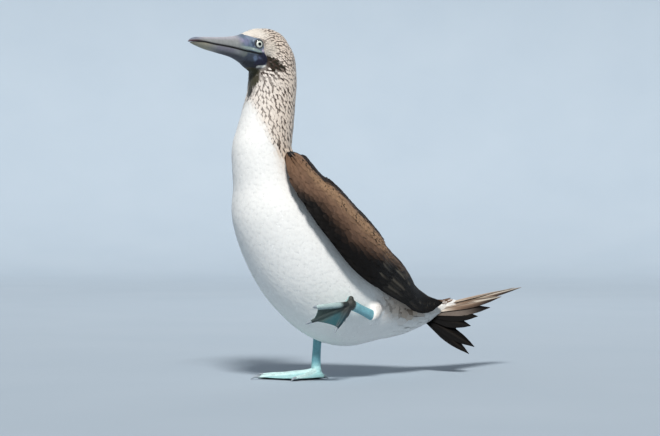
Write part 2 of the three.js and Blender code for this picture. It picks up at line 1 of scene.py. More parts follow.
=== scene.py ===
# A blue-footed booby, life size: its skin, feathers, bill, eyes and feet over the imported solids.
# Metres, +Z up. The bird faces -Y and its left side is +X. The named sizes are in millimetres
# and become metres where a mesh is made.
import math

import bmesh
import bpy
import numpy as np
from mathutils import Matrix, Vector
from mathutils.bvhtree import BVHTree


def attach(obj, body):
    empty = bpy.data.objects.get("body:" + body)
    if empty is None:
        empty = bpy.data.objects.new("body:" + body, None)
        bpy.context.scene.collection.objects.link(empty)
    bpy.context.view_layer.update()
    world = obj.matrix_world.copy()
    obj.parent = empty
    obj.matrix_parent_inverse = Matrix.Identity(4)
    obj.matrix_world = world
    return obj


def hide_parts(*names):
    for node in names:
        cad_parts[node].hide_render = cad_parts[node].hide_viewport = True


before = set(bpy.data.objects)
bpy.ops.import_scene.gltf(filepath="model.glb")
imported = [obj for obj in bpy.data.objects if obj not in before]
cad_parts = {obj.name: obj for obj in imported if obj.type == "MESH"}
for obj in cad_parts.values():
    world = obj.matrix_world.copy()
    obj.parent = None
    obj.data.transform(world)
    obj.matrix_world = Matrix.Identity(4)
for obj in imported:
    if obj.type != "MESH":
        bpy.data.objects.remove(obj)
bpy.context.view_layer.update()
MM = 0.001

# The body's line from inside the head to the tail's root: y, z and girth radius at each station
SPINE = np.array([
    (-103, 452, 12), (-89, 444, 26), (-79.5, 427, 31.5), (-78.5, 411, 33), (-79, 394, 33.7),
    (-81.5, 374, 34.6), (-87, 347, 37.4), (-93, 321, 40), (-95.5, 303, 42.5), (-85.5, 268.5, 50.5),
    (-72, 233, 65.2), (-46, 196, 75.4), (-11.5, 155, 79.6), (31.5, 119.5, 76.4), (81, 100, 59.4),
    (126, 85, 32.5), (170, 86, 18.3), (212, 93, 8),
], float)
SPINE_KEYS = np.arange(len(SPINE), dtype=float)
MIDLINE = 12.0
WIDE = 0.93
DEEP = 1.03
TAIL_ROOT_END = 16.8
TAIL_PIVOT = 16.0

# The head's own frame: forward along the bill, left, and up from the eye's level
HEAD_PLACE = np.array([MIDLINE, -95.0, 442.0])
HEAD_TURN = math.radians(12)
FORWARD = np.array([math.sin(HEAD_TURN), -math.cos(HEAD_TURN), 0])
LEFT = np.array([math.cos(HEAD_TURN), math.sin(HEAD_TURN), 0])
UP = np.array([0, 0, 1.0])
# Sections of the head and bill: distance ahead, half width, top and bottom
HEAD_SECTIONS = np.array([
    (-42.7, 3, 9.1, -0.7), (-38.6, 11.8, 15.7, -9.9), (-26.3, 20.6, 23.6, -22.6),
    (-11.1, 24.9, 27.2, -29.4), (4, 24.8, 26.9, -32.4), (15.9, 21.8, 24.5, -32.7),
    (25.8, 18.8, 20.7, -29.2), (34.7, 15.9, 17.4, -24.2), (45.4, 13.2, 13.6, -19.6),
    (60, 10.7, 10.8, -15.4), (82, 8, 8.3, -12.2), (105.6, 5.6, 6.7, -8.7), (121.5, 3.7, 5.1, -4.9),
    (128.9, 2.2, 2.6, -2.6), (132.6, 0.7, -0.8, -2),
], float)
MOUTH = np.array([(19.9, -10.7), (37.6, -7.9), (64.8, -4), (93.4, -1.7), (111.2, 0), (132.6, -1.4)])
BILL_BASE = 40.6
BILL_TIP = 132.6
LOWER_TIP = 128.0
BILL_ROOT = 38.5
EYE = {"at": 24.3, "up": 2.2, "ball": 7.4, "opening": 5.0}
# The height where the head's small feathers give way to the neck's
HEAD_END = -34.0
# Where feathers give way to bare skin on the side of the face: height and distance ahead
FACE_EDGE = np.array([
    (-30, 15), (-26.5, 11.4), (-23.5, 10.6), (-18.6, 9.8), (-13.4, 12), (-9.3, 16.2), (-5, 17.4),
    (0, 17.6), (3, 17.8), (7, 18.8), (9.4, 21), (11.1, 28.3), (13.4, 34.9), (15.4, 41), (30, 60),
], float)
# The bare chin's lower edge: distance ahead and height
CHIN_EDGE = np.array([(8, -26.4), (16.2, -28.6), (28.9, -27.2), (36, -30)], float)

# The folded wing's outer surface: station, half width, half height, and its two edges round from
# the back in degrees
WING = np.array([
    (8, 37, 38.9, 52, 60), (8.35, 48.6, 49.6, 34, 80), (9, 58.5, 63.4, 27, 88), (10, 74.5, 78.9, 20, 87),
    (11, 83.7, 87.7, 13, 86), (12, 87.4, 94.8, 8, 84), (13, 83, 92, 5, 80), (14, 68, 75.5, 4, 80),
    (15, 49.2, 56, 5, 84), (16, 32.1, 31.5, 10, 82), (16.8, 23.9, 17, 30, 70),
], float)

# Tail feathers on each side from the middle out: length, fan angle, rise angle, turn of the face
# to the side, half width
TAIL_FEATHERS = [
    (181, 3, 9.5, 14, 11.5), (133, 9, 8, 26, 12.5), (106, 16, 2.5, 40, 12), (83, 24, -4.5, 52, 12),
    (73, 32, -15, 60, 12), (89, 41, -32, 64, 11.5), (89, 49, -39, 66, 10),
]
# The right half has these shares of the left half's spread and droop
TAIL_RIGHT = {"out": 0.42, "rise": 0.55}
# How long one station of the spine is at the tail's root
TAIL_STATION_LONG = 44

# Feet: the tarsus's radii, then each toe's length, heading in degrees, radius and claw length, from
# the hind toe to the outer one
TARSUS = {"front": 6.6, "side": 4.6}
TOES = [(34, 104, 2.9, 6), (65, 45, 3.4, 8), (91, 0, 3.8, 10), (86, -31, 3.6, 8)]
TOE_SWELL = [1.35, 1.05, 1.12, 0.95, 0.95, 0.6]
CLAW_RADII = [(2.2, 1.8), (1.7, 1.5), (0.35, 0.35)]
WEB_THICK = 1.5
STANDING_ANKLE = np.array([0, 3, 64.0])
STANDING_JOINT = np.array([0, 0, 10.5])
TOE_OUT = math.radians(20)
RAISED_ANKLE = np.array([80, 34.5, 88.0])
RAISED_JOINT = np.array([91.5, -8.7, 104])
RAISED_TIPS = np.array([[94, -20, 81], [108, -45, 69], [97, -84, 80], [106, -79, 102]], float)
# Thighs, left and right: places from the hip down to the ankle, and the radius at each
THIGHS = [
    ([(48, 42, 100), (67, 41, 93), (78.5, 36.5, 88), (80.5, 33, 88.3)], [28, 25, 17, 8.8]),
    ([(2, 24, 96), (0, 12, 70), (0, 5, 53)], [26, 17, 9]),
]

# The room: how far the flat floor reaches, how it curves up, and the wall's height
FLOOR_REACH = 5000.0
ROOM_CURVE = 2200.0
ROOM_HIGH = 5200.0

# The camera: the way to it from the bird, the right of its picture, and then how far away, how far
# to the right and how high it is, how much it looks up, and its lens
TO_CAMERA = np.array([0.819, -0.574, 0])
IMAGE_RIGHT = np.array([0.574, 0.819, 0])
CAMERA = {"away": 2400.0, "shift": 19.0, "high": 202.6, "pitch": math.radians(0.36), "lens": 96.27}


def srgb(red, green, blue):
    """A colour as the eye names it, in the linear values that a shader takes."""
    values = np.array([red, green, blue], float)
    return np.where(values <= 0.04045, values / 12.92, ((values + 0.055) / 1.055) ** 2.4)


WHITE = srgb(0.95, 0.945, 0.93)
CREAM = srgb(0.91, 0.87, 0.83)
BUFF = srgb(0.80, 0.70, 0.60)
STREAK = srgb(0.23, 0.17, 0.135)
OLIVE = srgb(0.25, 0.24, 0.16)
FACE_BLUE = srgb(0.36, 0.42, 0.49)
FACE_DARK = srgb(0.12, 0.12, 0.21)
GULAR = srgb(0.14, 0.16, 0.20)
BILL_GREY = srgb(0.55, 0.55, 0.56)
BROWN_PALE = srgb(0.60, 0.48, 0.37)
BROWN = srgb(0.43, 0.33, 0.265)
# Near black brown of the wing's lower feathers, with painted shade in it
BROWN_DARK_AND_SHADE = srgb(0.055, 0.045, 0.04)
FOOT_BLUE = srgb(0.48, 0.70, 0.74)
FOOT_DEEP = srgb(0.10, 0.30, 0.33)
FOOT_OLIVE = srgb(0.21, 0.22, 0.20)
FLOOR_TINTS = [srgb(0.64, 0.69, 0.735), srgb(0.67, 0.715, 0.755)]

# How fine the meshes of skin and feet are
SKIN_GRAIN = 1.7
FOOT_GRAIN = 0.75


def smoothstep(value, low, high):
    """Eases from 0 at low to 1 at high. low may be the larger of the two."""
    t = np.clip((value - low) / (high - low), 0, 1)
    return t * t * (3 - 2 * t)


def mix(a, b, share):
    """Colours a and b blended: share is how much of b."""
    share = np.asarray(share)[..., None]
    return a * (1 - share) + b * share


def unit(vectors):
    """Vectors brought to length 1."""
    return vectors / np.maximum(np.linalg.norm(vectors, axis=-1, keepdims=True), 1e-9)


def through(keys, rows, at):
    """A smooth run through rows of values, read at keys."""
    at = np.asarray(at, float)
    i = np.clip(np.searchsorted(keys, at, side="left") - 1, 0, len(keys) - 2)
    before = np.maximum(i - 1, 0)
    after = np.minimum(i + 2, len(keys) - 1)
    span = keys[i + 1] - keys[i]
    t = np.clip((at - keys[i]) / span, 0, 1)[..., None]
    slope_b = (rows[i + 1] - rows[before]) / (keys[i + 1] - keys[before])[..., None] * span[..., None]
    slope_c = (rows[after] - rows[i]) / (keys[after] - keys[i])[..., None] * span[..., None]
    t2 = t * t
    t3 = t2 * t
    return (
        (2 * t3 - 3 * t2 + 1) * rows[i]
        + (t3 - 2 * t2 + t) * slope_b
        + (3 * t2 - 2 * t3) * rows[i + 1]
        + (t3 - t2) * slope_c
    )


def body_frame(k):
    """Centre, direction along, direction to the back, and radius of the body's section at k."""
    k = np.asarray(k, float)
    here = through(SPINE_KEYS, SPINE, k)
    ahead = through(SPINE_KEYS, SPINE, np.minimum(k + 0.05, len(SPINE) - 1))
    behind = through(SPINE_KEYS, SPINE, np.maximum(k - 0.05, 0))
    zero = np.zeros_like(k)
    step = ahead - behind
    along = unit(np.stack([zero, step[..., 0], step[..., 1]], -1))
    back = np.stack([zero, -along[..., 2], along[..., 1]], -1)
    centre = np.stack([zero + MIDLINE, here[..., 0], here[..., 1]], -1)
    return centre, along, back, here[..., 2]


def body_point(k, turn, grow=0.0):
    """The body's surface at station k and an angle round the spine from the back, grown outwards."""
    centre, _, back, r = body_frame(k)
    turn = np.asarray(turn, float)
    side = ((r * WIDE + grow) * np.sin(turn))[..., None]
    deep = ((r * DEEP + grow) * np.cos(turn))[..., None]
    return centre + np.array([1.0, 0, 0]) * side + back * deep


def head_point(at, left, up):
    """The point at a distance ahead, left and up in the head's own frame."""
    at, left, up = np.broadcast_arrays(at, left, up)
    return HEAD_PLACE + FORWARD * at[..., None] + LEFT * left[..., None] + UP * up[..., None]


def head_section(at):
    """Half width, top and bottom of the head or bill at a distance ahead."""
    values = through(HEAD_SECTIONS[:, 0], HEAD_SECTIONS[:, 1:], at)
    return values[..., 0], values[..., 1], values[..., 2]


def mouth_up(at):
    """The height of the mouth's line at a distance ahead."""
    return through(MOUTH[:, 0], MOUTH[:, 1:], at)[..., 0]


def head_outline(at, turn, grow=0.0):
    """Left and up of the head's outline at a distance ahead and an angle from the top."""
    wide, top, bottom = head_section(at)
    level = (top + bottom) / 2
    half = (top - bottom) / 2 + grow
    ridge = smoothstep(at, BILL_BASE - 15, BILL_BASE + 20) * 0.22
    left = (wide + grow) * np.sin(turn) * (1 - ridge * np.cos(turn) ** 2)
    return left, level + half * np.cos(turn)


def head_coordinates(points):
    """How far ahead, left and up points lie in the head's own frame."""
    offset = points - HEAD_PLACE
    return offset @ FORWARD, offset @ LEFT, offset[..., 2]


STATIONS = np.linspace(0, TAIL_ROOT_END, 241)
STATION_FRAMES = body_frame(STATIONS)


def spine_place(points):
    """The station and the angle round the spine, from the back, of each point."""
    centre, along, back, radius = STATION_FRAMES
    places = np.empty(len(points))
    for start in range(0, len(points), 20000):
        part = points[start:start + 20000]
        offset = part[:, None, :] - centre[None]
        beside = np.abs((offset * along[None]).sum(-1))
        distance = np.linalg.norm(offset, axis=-1)
        cost = beside + 0.6 * np.maximum(0, distance - 1.25 * radius[None])
        places[start:start + 20000] = STATIONS[cost.argmin(1)]
    centre, along, back, radius = body_frame(places)
    offset = points - centre
    turn = np.arctan2(offset[:, 0] / (radius * WIDE), (offset * back).sum(-1) / (radius * DEEP))
    return places, turn


# Meshes
def mesh_object(name, points, faces):
    """A smoothly shaded object from points in millimetres."""
    mesh = bpy.data.meshes.new(name)
    mesh.from_pydata((np.asarray(points) * MM).tolist(), [], [tuple(f) for f in faces])
    mesh.validate()
    obj = bpy.data.objects.new(name, mesh)
    bpy.context.scene.collection.objects.link(obj)
    mesh.polygons.foreach_set("use_smooth", np.ones(len(mesh.polygons), bool))
    mesh.update()
    return obj


def add_colour(obj, colours):
    attribute = obj.data.color_attributes.new("tint", "FLOAT_COLOR", "POINT")
    values = np.ones((len(obj.data.vertices), 4))
    values[:, :3] = colours
    attribute.data.foreach_set("color", values.ravel())


def add_vector(obj, name, values):
    attribute = obj.data.attributes.new(name, "FLOAT_VECTOR", "POINT")
    attribute.data.foreach_set("vector", np.asarray(values, float).ravel())


def mesh_points(mesh):
    points = np.empty(len(mesh.vertices) * 3)
    mesh.vertices.foreach_get("co", points)
    return points.reshape(-1, 3) / MM


def mesh_normals(mesh):
    normals = np.empty(len(mesh.vertices) * 3)
    mesh.vertices.foreach_get("normal", normals)
    return normals.reshape(-1, 3)


def ring_faces(rings, around, caps=True):
    """Faces of a tube over rings of corners, with a fan's hub after the corners at each end."""
    faces = []
    for i in range(rings - 1):
        for j in range(around):
            a = i * around + j
            b = i * around + (j + 1) % around
            faces.append((a, a + around, b + around, b))
    if caps:
        first = rings * around
        last = (rings - 1) * around
        for j in range(around):
            following = (j + 1) % around
            faces.append((first, j, following))
            faces.append((first + 1, last + following, last + j))
    return faces


def closed_loft(rings):
    """Corners and faces of a closed body over rings (rings, around, 3), its faces turned out."""
    count, around, _ = rings.shape
    points = np.concatenate([rings.reshape(-1, 3), [rings[0].mean(0), rings[-1].mean(0)]])
    faces = ring_faces(count, around)
    return points, turned_out(points, faces)


def turned_out(points, faces):
    """The faces of a closed body, all reversed if they face inwards."""
    volume = 0.0
    for face in faces:
        a = points[face[0]]
        for i in range(1, len(face) - 1):
            volume += float(np.dot(a, np.cross(points[face[i]], points[face[i + 1]])))
    return faces if volume > 0 else [tuple(reversed(face)) for face in faces]


def joined(parts):
    """The points and faces of several parts as one."""
    points = []
    faces = []
    start = 0
    for part_points, part_faces in parts:
        points.append(part_points)
        faces.extend([tuple(i + start for i in face) for face in part_faces])
        start += len(part_points)
    return np.concatenate(points), faces


def curve_points(places, count):
    """Points spaced evenly along a smooth line through places, and the directions there."""
    places = np.asarray(places, float)
    keys = np.concatenate([[0], np.cumsum(np.linalg.norm(np.diff(places, axis=0), axis=1))])
    at = np.linspace(0, keys[-1], count)
    points = through(keys, places, at)
    return points, unit(np.gradient(points, axis=0))


def tube(places, radii, around, side, steps=None):
    """A closed tube along a smooth line. radii holds (across, over) at even steps along it."""
    radii = np.asarray(radii, float)
    steps = steps or len(radii)
    line, along = curve_points(places, steps)
    keys = np.linspace(0, 1, len(radii))
    sizes = through(keys, radii, np.linspace(0, 1, steps))
    right = unit(side - along * (along @ side)[:, None])
    over = np.cross(right, along)
    turn = np.linspace(0, 2 * math.pi, around, endpoint=False)
    rings = (
        line[:, None]
        + right[:, None] * (sizes[:, :1] * np.cos(turn))[..., None]
        + over[:, None] * (sizes[:, 1:] * np.sin(turn))[..., None]
    )
    return closed_loft(rings)


def applied(obj):
    """Turns an object's modifiers into its mesh."""
    graph = bpy.context.evaluated_depsgraph_get()
    mesh = bpy.data.meshes.new_from_object(obj.evaluated_get(graph))
    obj.modifiers.clear()
    obj.data = mesh
    mesh.polygons.foreach_set("use_smooth", np.ones(len(mesh.polygons), bool))
    return obj


def remeshed(obj, voxel, smooth):
    """Melts overlapping parts into one smooth skin."""
    remesh = obj.modifiers.new("remesh", "REMESH")
    remesh.mode = "VOXEL"
    remesh.voxel_size = voxel * MM
    ease = obj.modifiers.new("ease", "SMOOTH")
    ease.factor = 0.5
    ease.iterations = smooth
    return applied(obj)


def subdivided(obj, chosen):
    """Splits the faces whose corners are all chosen into four."""
    work = bmesh.new()
    work.from_mesh(obj.data)
    work.verts.ensure_lookup_table()
    edges = [e for e in work.edges if chosen[e.verts[0].index] and chosen[e.verts[1].index]]
    bmesh.ops.subdivide_edges(work, edges=edges, cuts=1, use_grid_fill=True, smooth=0.6)
    work.to_mesh(obj.data)
    work.free()


# Materials
class Nodes:
    """A material's node tree, with short ways to add nodes and links."""

    def __init__(self, name):
        self.material = bpy.data.materials.new(name)
        self.material.use_nodes = True
        self.tree = self.material.node_tree
        self.shader = self.tree.nodes["Principled BSDF"]

    def add(self, kind, **values):
        node = self.tree.nodes.new(kind)
        for key, value in values.items():
            setattr(node, key, value)
        return node

    def link(self, source, target):
        self.tree.links.new(source, target)

    def set(self, **values):
        for key, value in values.items():
            self.shader.inputs[key.replace("_", " ")].default_value = value

    def attribute(self, name):
        return self.add("ShaderNodeAttribute", attribute_name=name)

    def noise(self, scale, detail=4.0, rough=0.6, vector=None):
        node = self.add("ShaderNodeTexNoise")
        node.inputs["Scale"].default_value = scale
        node.inputs["Detail"].default_value = detail
        node.inputs["Roughness"].default_value = rough
        if vector is not None:
            self.link(vector, node.inputs["Vector"])
        return node

    def place(self):
        return self.add("ShaderNodeTexCoord").outputs["Object"]

    def math(self, operation, a, b=0.0):
        node = self.add("ShaderNodeMath", operation=operation)
        for value, socket in ((a, node.inputs[0]), (b, node.inputs[1])):
            if isinstance(value, (int, float)):
                socket.default_value = value
            else:
                self.link(value, socket)
        return node.outputs[0]

    def apart(self, name):
        """The three numbers of a vector attribute."""
        node = self.add("ShaderNodeSeparateXYZ")
        self.link(self.attribute(name).outputs["Vector"], node.inputs[0])
        return node.outputs

    def clamped(self, value):
        node = self.add("ShaderNodeClamp")
        self.link(value, node.inputs["Value"])
        return node.outputs[0]

    def span(self, value, low, high, to_low, to_high):
        node = self.add("ShaderNodeMapRange")
        self.link(value, node.inputs["Value"])
        for name, number in zip(("From Min", "From Max", "To Min", "To Max"), (low, high, to_low, to_high)):
            node.inputs[name].default_value = number
        return node.outputs[0]

    def scaled(self, colour, factor):
        node = self.add("ShaderNodeVectorMath", operation="SCALE")
        self.link(colour, node.inputs[0])
        self.link(factor, node.inputs["Scale"])
        return node.outputs[0]

    def bump(self, height, distance, strength=1.0, under=None):
        node = self.add("ShaderNodeBump")
        node.inputs["Distance"].default_value = distance * MM
        node.inputs["Strength"].default_value = strength
        self.link(height, node.inputs["Height"])
        if under is not None:
            self.link(under, node.inputs["Normal"])
        return node.outputs[0]


def feather_material(name, rough, barb, sheen, ground, mottle, gloss=0.25):
    """Tinted vanes with fine barbs that leave the shaft at a slant. The mark attribute holds the
    place across and along each vane and how dark its streak is; ground is the streak's colour."""
    m = Nodes(name)
    m.set(Roughness=rough, Sheen_Weight=sheen, Sheen_Roughness=0.45, Specular_IOR_Level=gloss)
    tint = m.attribute("tint").outputs["Color"]
    split = m.apart("vane")
    mark = m.apart("mark")
    across = m.math("ABSOLUTE", split[0])
    wobble = m.noise(900, 2.0, 0.5, m.place())
    slant = m.math("SUBTRACT", split[1], m.math("MULTIPLY", across, 0.9))
    turns = m.math("MULTIPLY", slant, 2 * math.pi / barb)
    wave = m.math("SINE", m.math("ADD", turns, m.math("MULTIPLY", wobble.outputs[0], 5.0)))
    patches = m.noise(260, 3.0, 0.6, m.place())
    low, high = 1 - mottle, 1 + mottle * 0.6
    shade = m.math("ADD", m.span(patches.outputs[0], 0.3, 0.7, low, high), m.math("MULTIPLY", wave, 0.02))
    side = m.math("ABSOLUTE", mark[0])
    end = m.math("ADD", 0.58, m.math("MULTIPLY", side, 0.13))
    end = m.math("ADD", end, m.math("MULTIPLY", m.math("SUBTRACT", wobble.outputs[0], 0.5), 0.2))
    dark = m.clamped(m.math("MULTIPLY", m.math("SUBTRACT", end, mark[1]), 14.0))
    shaft = m.clamped(m.math("MULTIPLY", m.math("SUBTRACT", 0.3, side), 8.0))
    shaft = m.math("MULTIPLY", shaft, m.clamped(m.math("MULTIPLY", m.math("SUBTRACT", mark[1], 0.42), 9.0)))
    dark = m.math("MULTIPLY", dark, m.math("SUBTRACT", 1.0, m.math("MULTIPLY", shaft, 0.75)))
    dark = m.math("MULTIPLY", dark, mark[2])
    blend = m.add("ShaderNodeMix", data_type="RGBA")
    m.link(dark, blend.inputs[0])
    m.link(tint, blend.inputs[6])
    blend.inputs[7].default_value = (*ground, 1)
    m.link(m.scaled(blend.outputs[2], shade), m.shader.inputs["Base Color"])
    m.link(m.bump(wave, barb * 0.16, 0.35), m.shader.inputs["Normal"])
    return m.material


def skin_material():
    """Bare skin and the down under the feathers: tinted, finely wrinkled."""
    m = Nodes("skin")
    m.set(Roughness=0.55, Specular_IOR_Level=0.4)
    tint = m.attribute("tint").outputs["Color"]
    pores = m.add("ShaderNodeTexVoronoi", feature="DISTANCE_TO_EDGE")
    pores.inputs["Scale"].default_value = 1100
    m.link(m.place(), pores.inputs["Vector"])
    folds = m.noise(420, 5.0, 0.65, m.place())
    shade = m.span(folds.outputs[0], 0.3, 0.7, 0.78, 1.2)
    m.link(m.scaled(tint, shade), m.shader.inputs["Base Color"])
    first = m.bump(pores.outputs["Distance"], 0.18, 0.35)
    m.link(m.bump(folds.outputs[0], 0.35, 0.6, first), m.shader.inputs["Normal"])
    m.link(m.span(folds.outputs[0], 0.3, 0.7, 0.62, 0.42), m.shader.inputs["Roughness"])
    return m.material


def horn_material(name, rough):
    """Bill and claw horn: tinted, with fine growth lines and a dull polish."""
    m = Nodes(name)
    m.set(Specular_IOR_Level=0.5)
    tint = m.attribute("tint").outputs["Color"]
    streaks = m.noise(260, 5.0, 0.6, m.place())
    fine = m.noise(1500, 3.0, 0.6, m.place())
    shade = m.span(streaks.outputs[0], 0.3, 0.7, 0.86, 1.12)
    m.link(m.scaled(tint, shade), m.shader.inputs["Base Color"])
    m.link(m.span(fine.outputs[0], 0.3, 0.7, rough - 0.08, rough + 0.12), m.shader.inputs["Roughness"])
    first = m.bump(streaks.outputs[0], 0.3, 0.4)
    m.link(m.bump(fine.outputs[0], 0.08, 0.5, first), m.shader.inputs["Normal"])
    return m.material


def foot_material():
    """Web and tarsus: tinted, with a net of small scales and drying wrinkles."""
    m = Nodes("foot_scales")
    m.set(Specular_IOR_Level=0.45)
    tint = m.attribute("tint").outputs["Color"]
    scales = m.add("ShaderNodeTexVoronoi", feature="DISTANCE_TO_EDGE")
    scales.inputs["Scale"].default_value = 620
    m.link(m.place(), scales.inputs["Vector"])
    patches = m.noise(130, 4.0, 0.6, m.place())
    edge = m.span(scales.outputs["Distance"], 0.0, 0.16, 0.8, 1.0)
    shade = m.math("MULTIPLY", edge, m.span(patches.outputs[0], 0.3, 0.7, 0.85, 1.15))
    m.link(m.scaled(tint, shade), m.shader.inputs["Base Color"])
    m.link(m.span(patches.outputs[0], 0.3, 0.7, 0.38, 0.58), m.shader.inputs["Roughness"])
    net = m.bump(m.span(scales.outputs["Distance"], 0.0, 0.22, 0.0, 1.0), 0.25, 0.6)
    m.link(m.bump(patches.outputs[0], 0.9, 0.3, net), m.shader.inputs["Normal"])
    return m.material


def eye_material():
    """Wet eyeball: tinted, with faint flecks."""
    m = Nodes("eye")
    m.set(Roughness=0.08, Coat_Weight=1.0, Coat_Roughness=0.02, Specular_IOR_Level=0.6)
    tint = m.attribute("tint").outputs["Color"]
    flecks = m.noise(1600, 3.0, 0.6, m.place())
    m.link(m.scaled(tint, m.span(flecks.outputs[0], 0.3, 0.7, 0.9, 1.08)), m.shader.inputs["Base Color"])
    return m.material


# Colours by place, shared by skin and coat
def bare_share(at, up):
    """How far a place on the head is bare: 0 feathered, 1 bare."""
    edge = np.interp(up, FACE_EDGE[:, 0], FACE_EDGE[:, 1])
    chin = np.interp(at, CHIN_EDGE[:, 0], CHIN_EDGE[:, 1])
    return smoothstep(at - edge, -0.8, 0.8) * smoothstep(up - chin, -0.6, 0.6)


def near(at, up, place, size):
    """1 at a place on the side of the head, falling to 0 at a distance."""
    distance = np.hypot(at - place[0], up - place[1])
    return 1 - smoothstep(distance, size * 0.5, size)


def near_line(at, up, line, size):
    """1 along a line on the side of the head, falling to 0 at a distance."""
    line = np.asarray(line, float)
    best = np.full(np.shape(at), 1e9)
    for a, b in zip(line[:-1], line[1:]):
        step = b - a
        t = np.clip(((at - a[0]) * step[0] + (up - a[1]) * step[1]) / (step @ step), 0, 1)
        best = np.minimum(best, np.hypot(at - a[0] - step[0] * t, up - a[1] - step[1] * t))
    return 1 - smoothstep(best, size * 0.35, size)


EAR_PATCH = [(12.2, -11), (3.5, -14.5), (-4.5, -25), (-2, -28.5), (9.4, -29)]
CRESCENT = [(21, -9.6), (17.2, -11), (13.6, -14.8), (12.8, -19.2), (15.2, -21.8), (22, -21.6)]
UNDER_EYE = [(50, -2.6), (42, -3.2), (34.3, -4.0), (27.5, -6.0), (22.5, -8.2)]
# Blotches of the bare face: colour, place and size, or a line of places, and strength
FACE_PATCHES = [
    # the first three, pale blue and purple, are partly the skin's own blotches and partly painted
    # highlights
    (srgb(0.50, 0.55, 0.62), [(27, 8.6), (37, 11)], 4.0, 0.65),
    (srgb(0.57, 0.54, 0.66), [(46.8, 6.6), (53, 4.8)], 4.6, 0.75),
    (srgb(0.50, 0.50, 0.62), [(39, 7), (42, 3)], 5.0, 0.55),
    (srgb(0.22, 0.27, 0.35), [(32.8, 4), (32.2, 0.8)], 2.2, 0.8),
    (srgb(0.20, 0.24, 0.32), [(28.8, 5.4), (29.6, 4.6)], 1.7, 0.7),
    (srgb(0.26, 0.32, 0.38), [(31, -2.2), (26, -5)], 2.2, 0.7),
    (srgb(0.56, 0.62, 0.60), UNDER_EYE, 2.6, 0.85),
    (srgb(0.50, 0.54, 0.50), [(47, -6.5), (38, -9.5)], 5.0, 0.6),
]
# Those below the mouth, over the darker chin
CHIN_PATCHES = [
    (srgb(0.40, 0.46, 0.56), [(28.5, -15), (26.8, -17.5)], 3.4, 0.8),
    (srgb(0.36, 0.38, 0.50), [(22.5, -14), (21.5, -17)], 2.6, 0.7),
    (FACE_DARK, CRESCENT, 6.6, 1.0),
    (srgb(0.30, 0.31, 0.36), [(10.8, -15), (9.9, -21)], 1.9, 0.7),
]


def face_colour(at, up):
    """Bare skin: slate blue before the eye, a line of painted shade along the gape, and dark over the chin.
    """
    colour = FACE_BLUE
    for tint, line, size, strength in FACE_PATCHES:
        colour = mix(colour, tint, near_line(at, up, line, size) * strength)
    below = smoothstep(mouth_up(np.maximum(at, 19.9)) - up, 0.4, 3.0)
    chin = mix(srgb(0.25, 0.28, 0.33), GULAR, smoothstep(-up, 17, 22))
    chin = mix(chin, srgb(0.46, 0.48, 0.46), near_line(at, up, [(60, -8), (44, -11)], 6.0) * 0.8)
    for tint, line, size, strength in CHIN_PATCHES:
        chin = mix(chin, tint, near_line(at, up, line, size) * strength)
    colour = mix(colour, chin, below * smoothstep(at, 12, 16))
    colour = mix(colour, FACE_DARK, near_line(at, up, CRESCENT, 6.0) * smoothstep(-up, 7.4, 9.4))
    # painted shade: a near black line along the gape, where the bill meets the face
    mouth_gap = np.abs(up - mouth_up(np.maximum(at, 19.9))) + 8 * np.maximum(0, 21 - at)
    colour = mix(colour, srgb(0.05, 0.06, 0.07), 1 - smoothstep(mouth_gap, 0.8, 1.9))
    colour = mix(colour, srgb(0.70, 0.65, 0.72), near(at, up, (18.6, -5.7), 2.9))
    return mix(colour, srgb(0.88, 0.87, 0.84), near_line(at, up, [(20.1, -26.3), (11.3, -25.6)], 2.1))


def streak_share(k, turn):
    """How streaked the plumage is, from 0 on the white breast to 1 on the crown and hind neck."""
    edge = np.interp(k, [0, 4.7, 5.2, 6.25, 7.5, 8.4, 9.5, 11], [205, 195, 165, 126, 90, 68, 46, 30])
    return 1 - smoothstep(np.abs(np.degrees(turn)), edge - 16, edge + 14)


def throat_share(k, turn):
    """The dark strip down the front of the upper neck."""
    half = np.interp(k, [0, 1, 2.6, 3.6, 4.8], [46, 42, 30, 17, 4])
    return (1 - smoothstep(180 - np.abs(np.degrees(turn)), half - 6, half + 5)) * (k < 4.9)


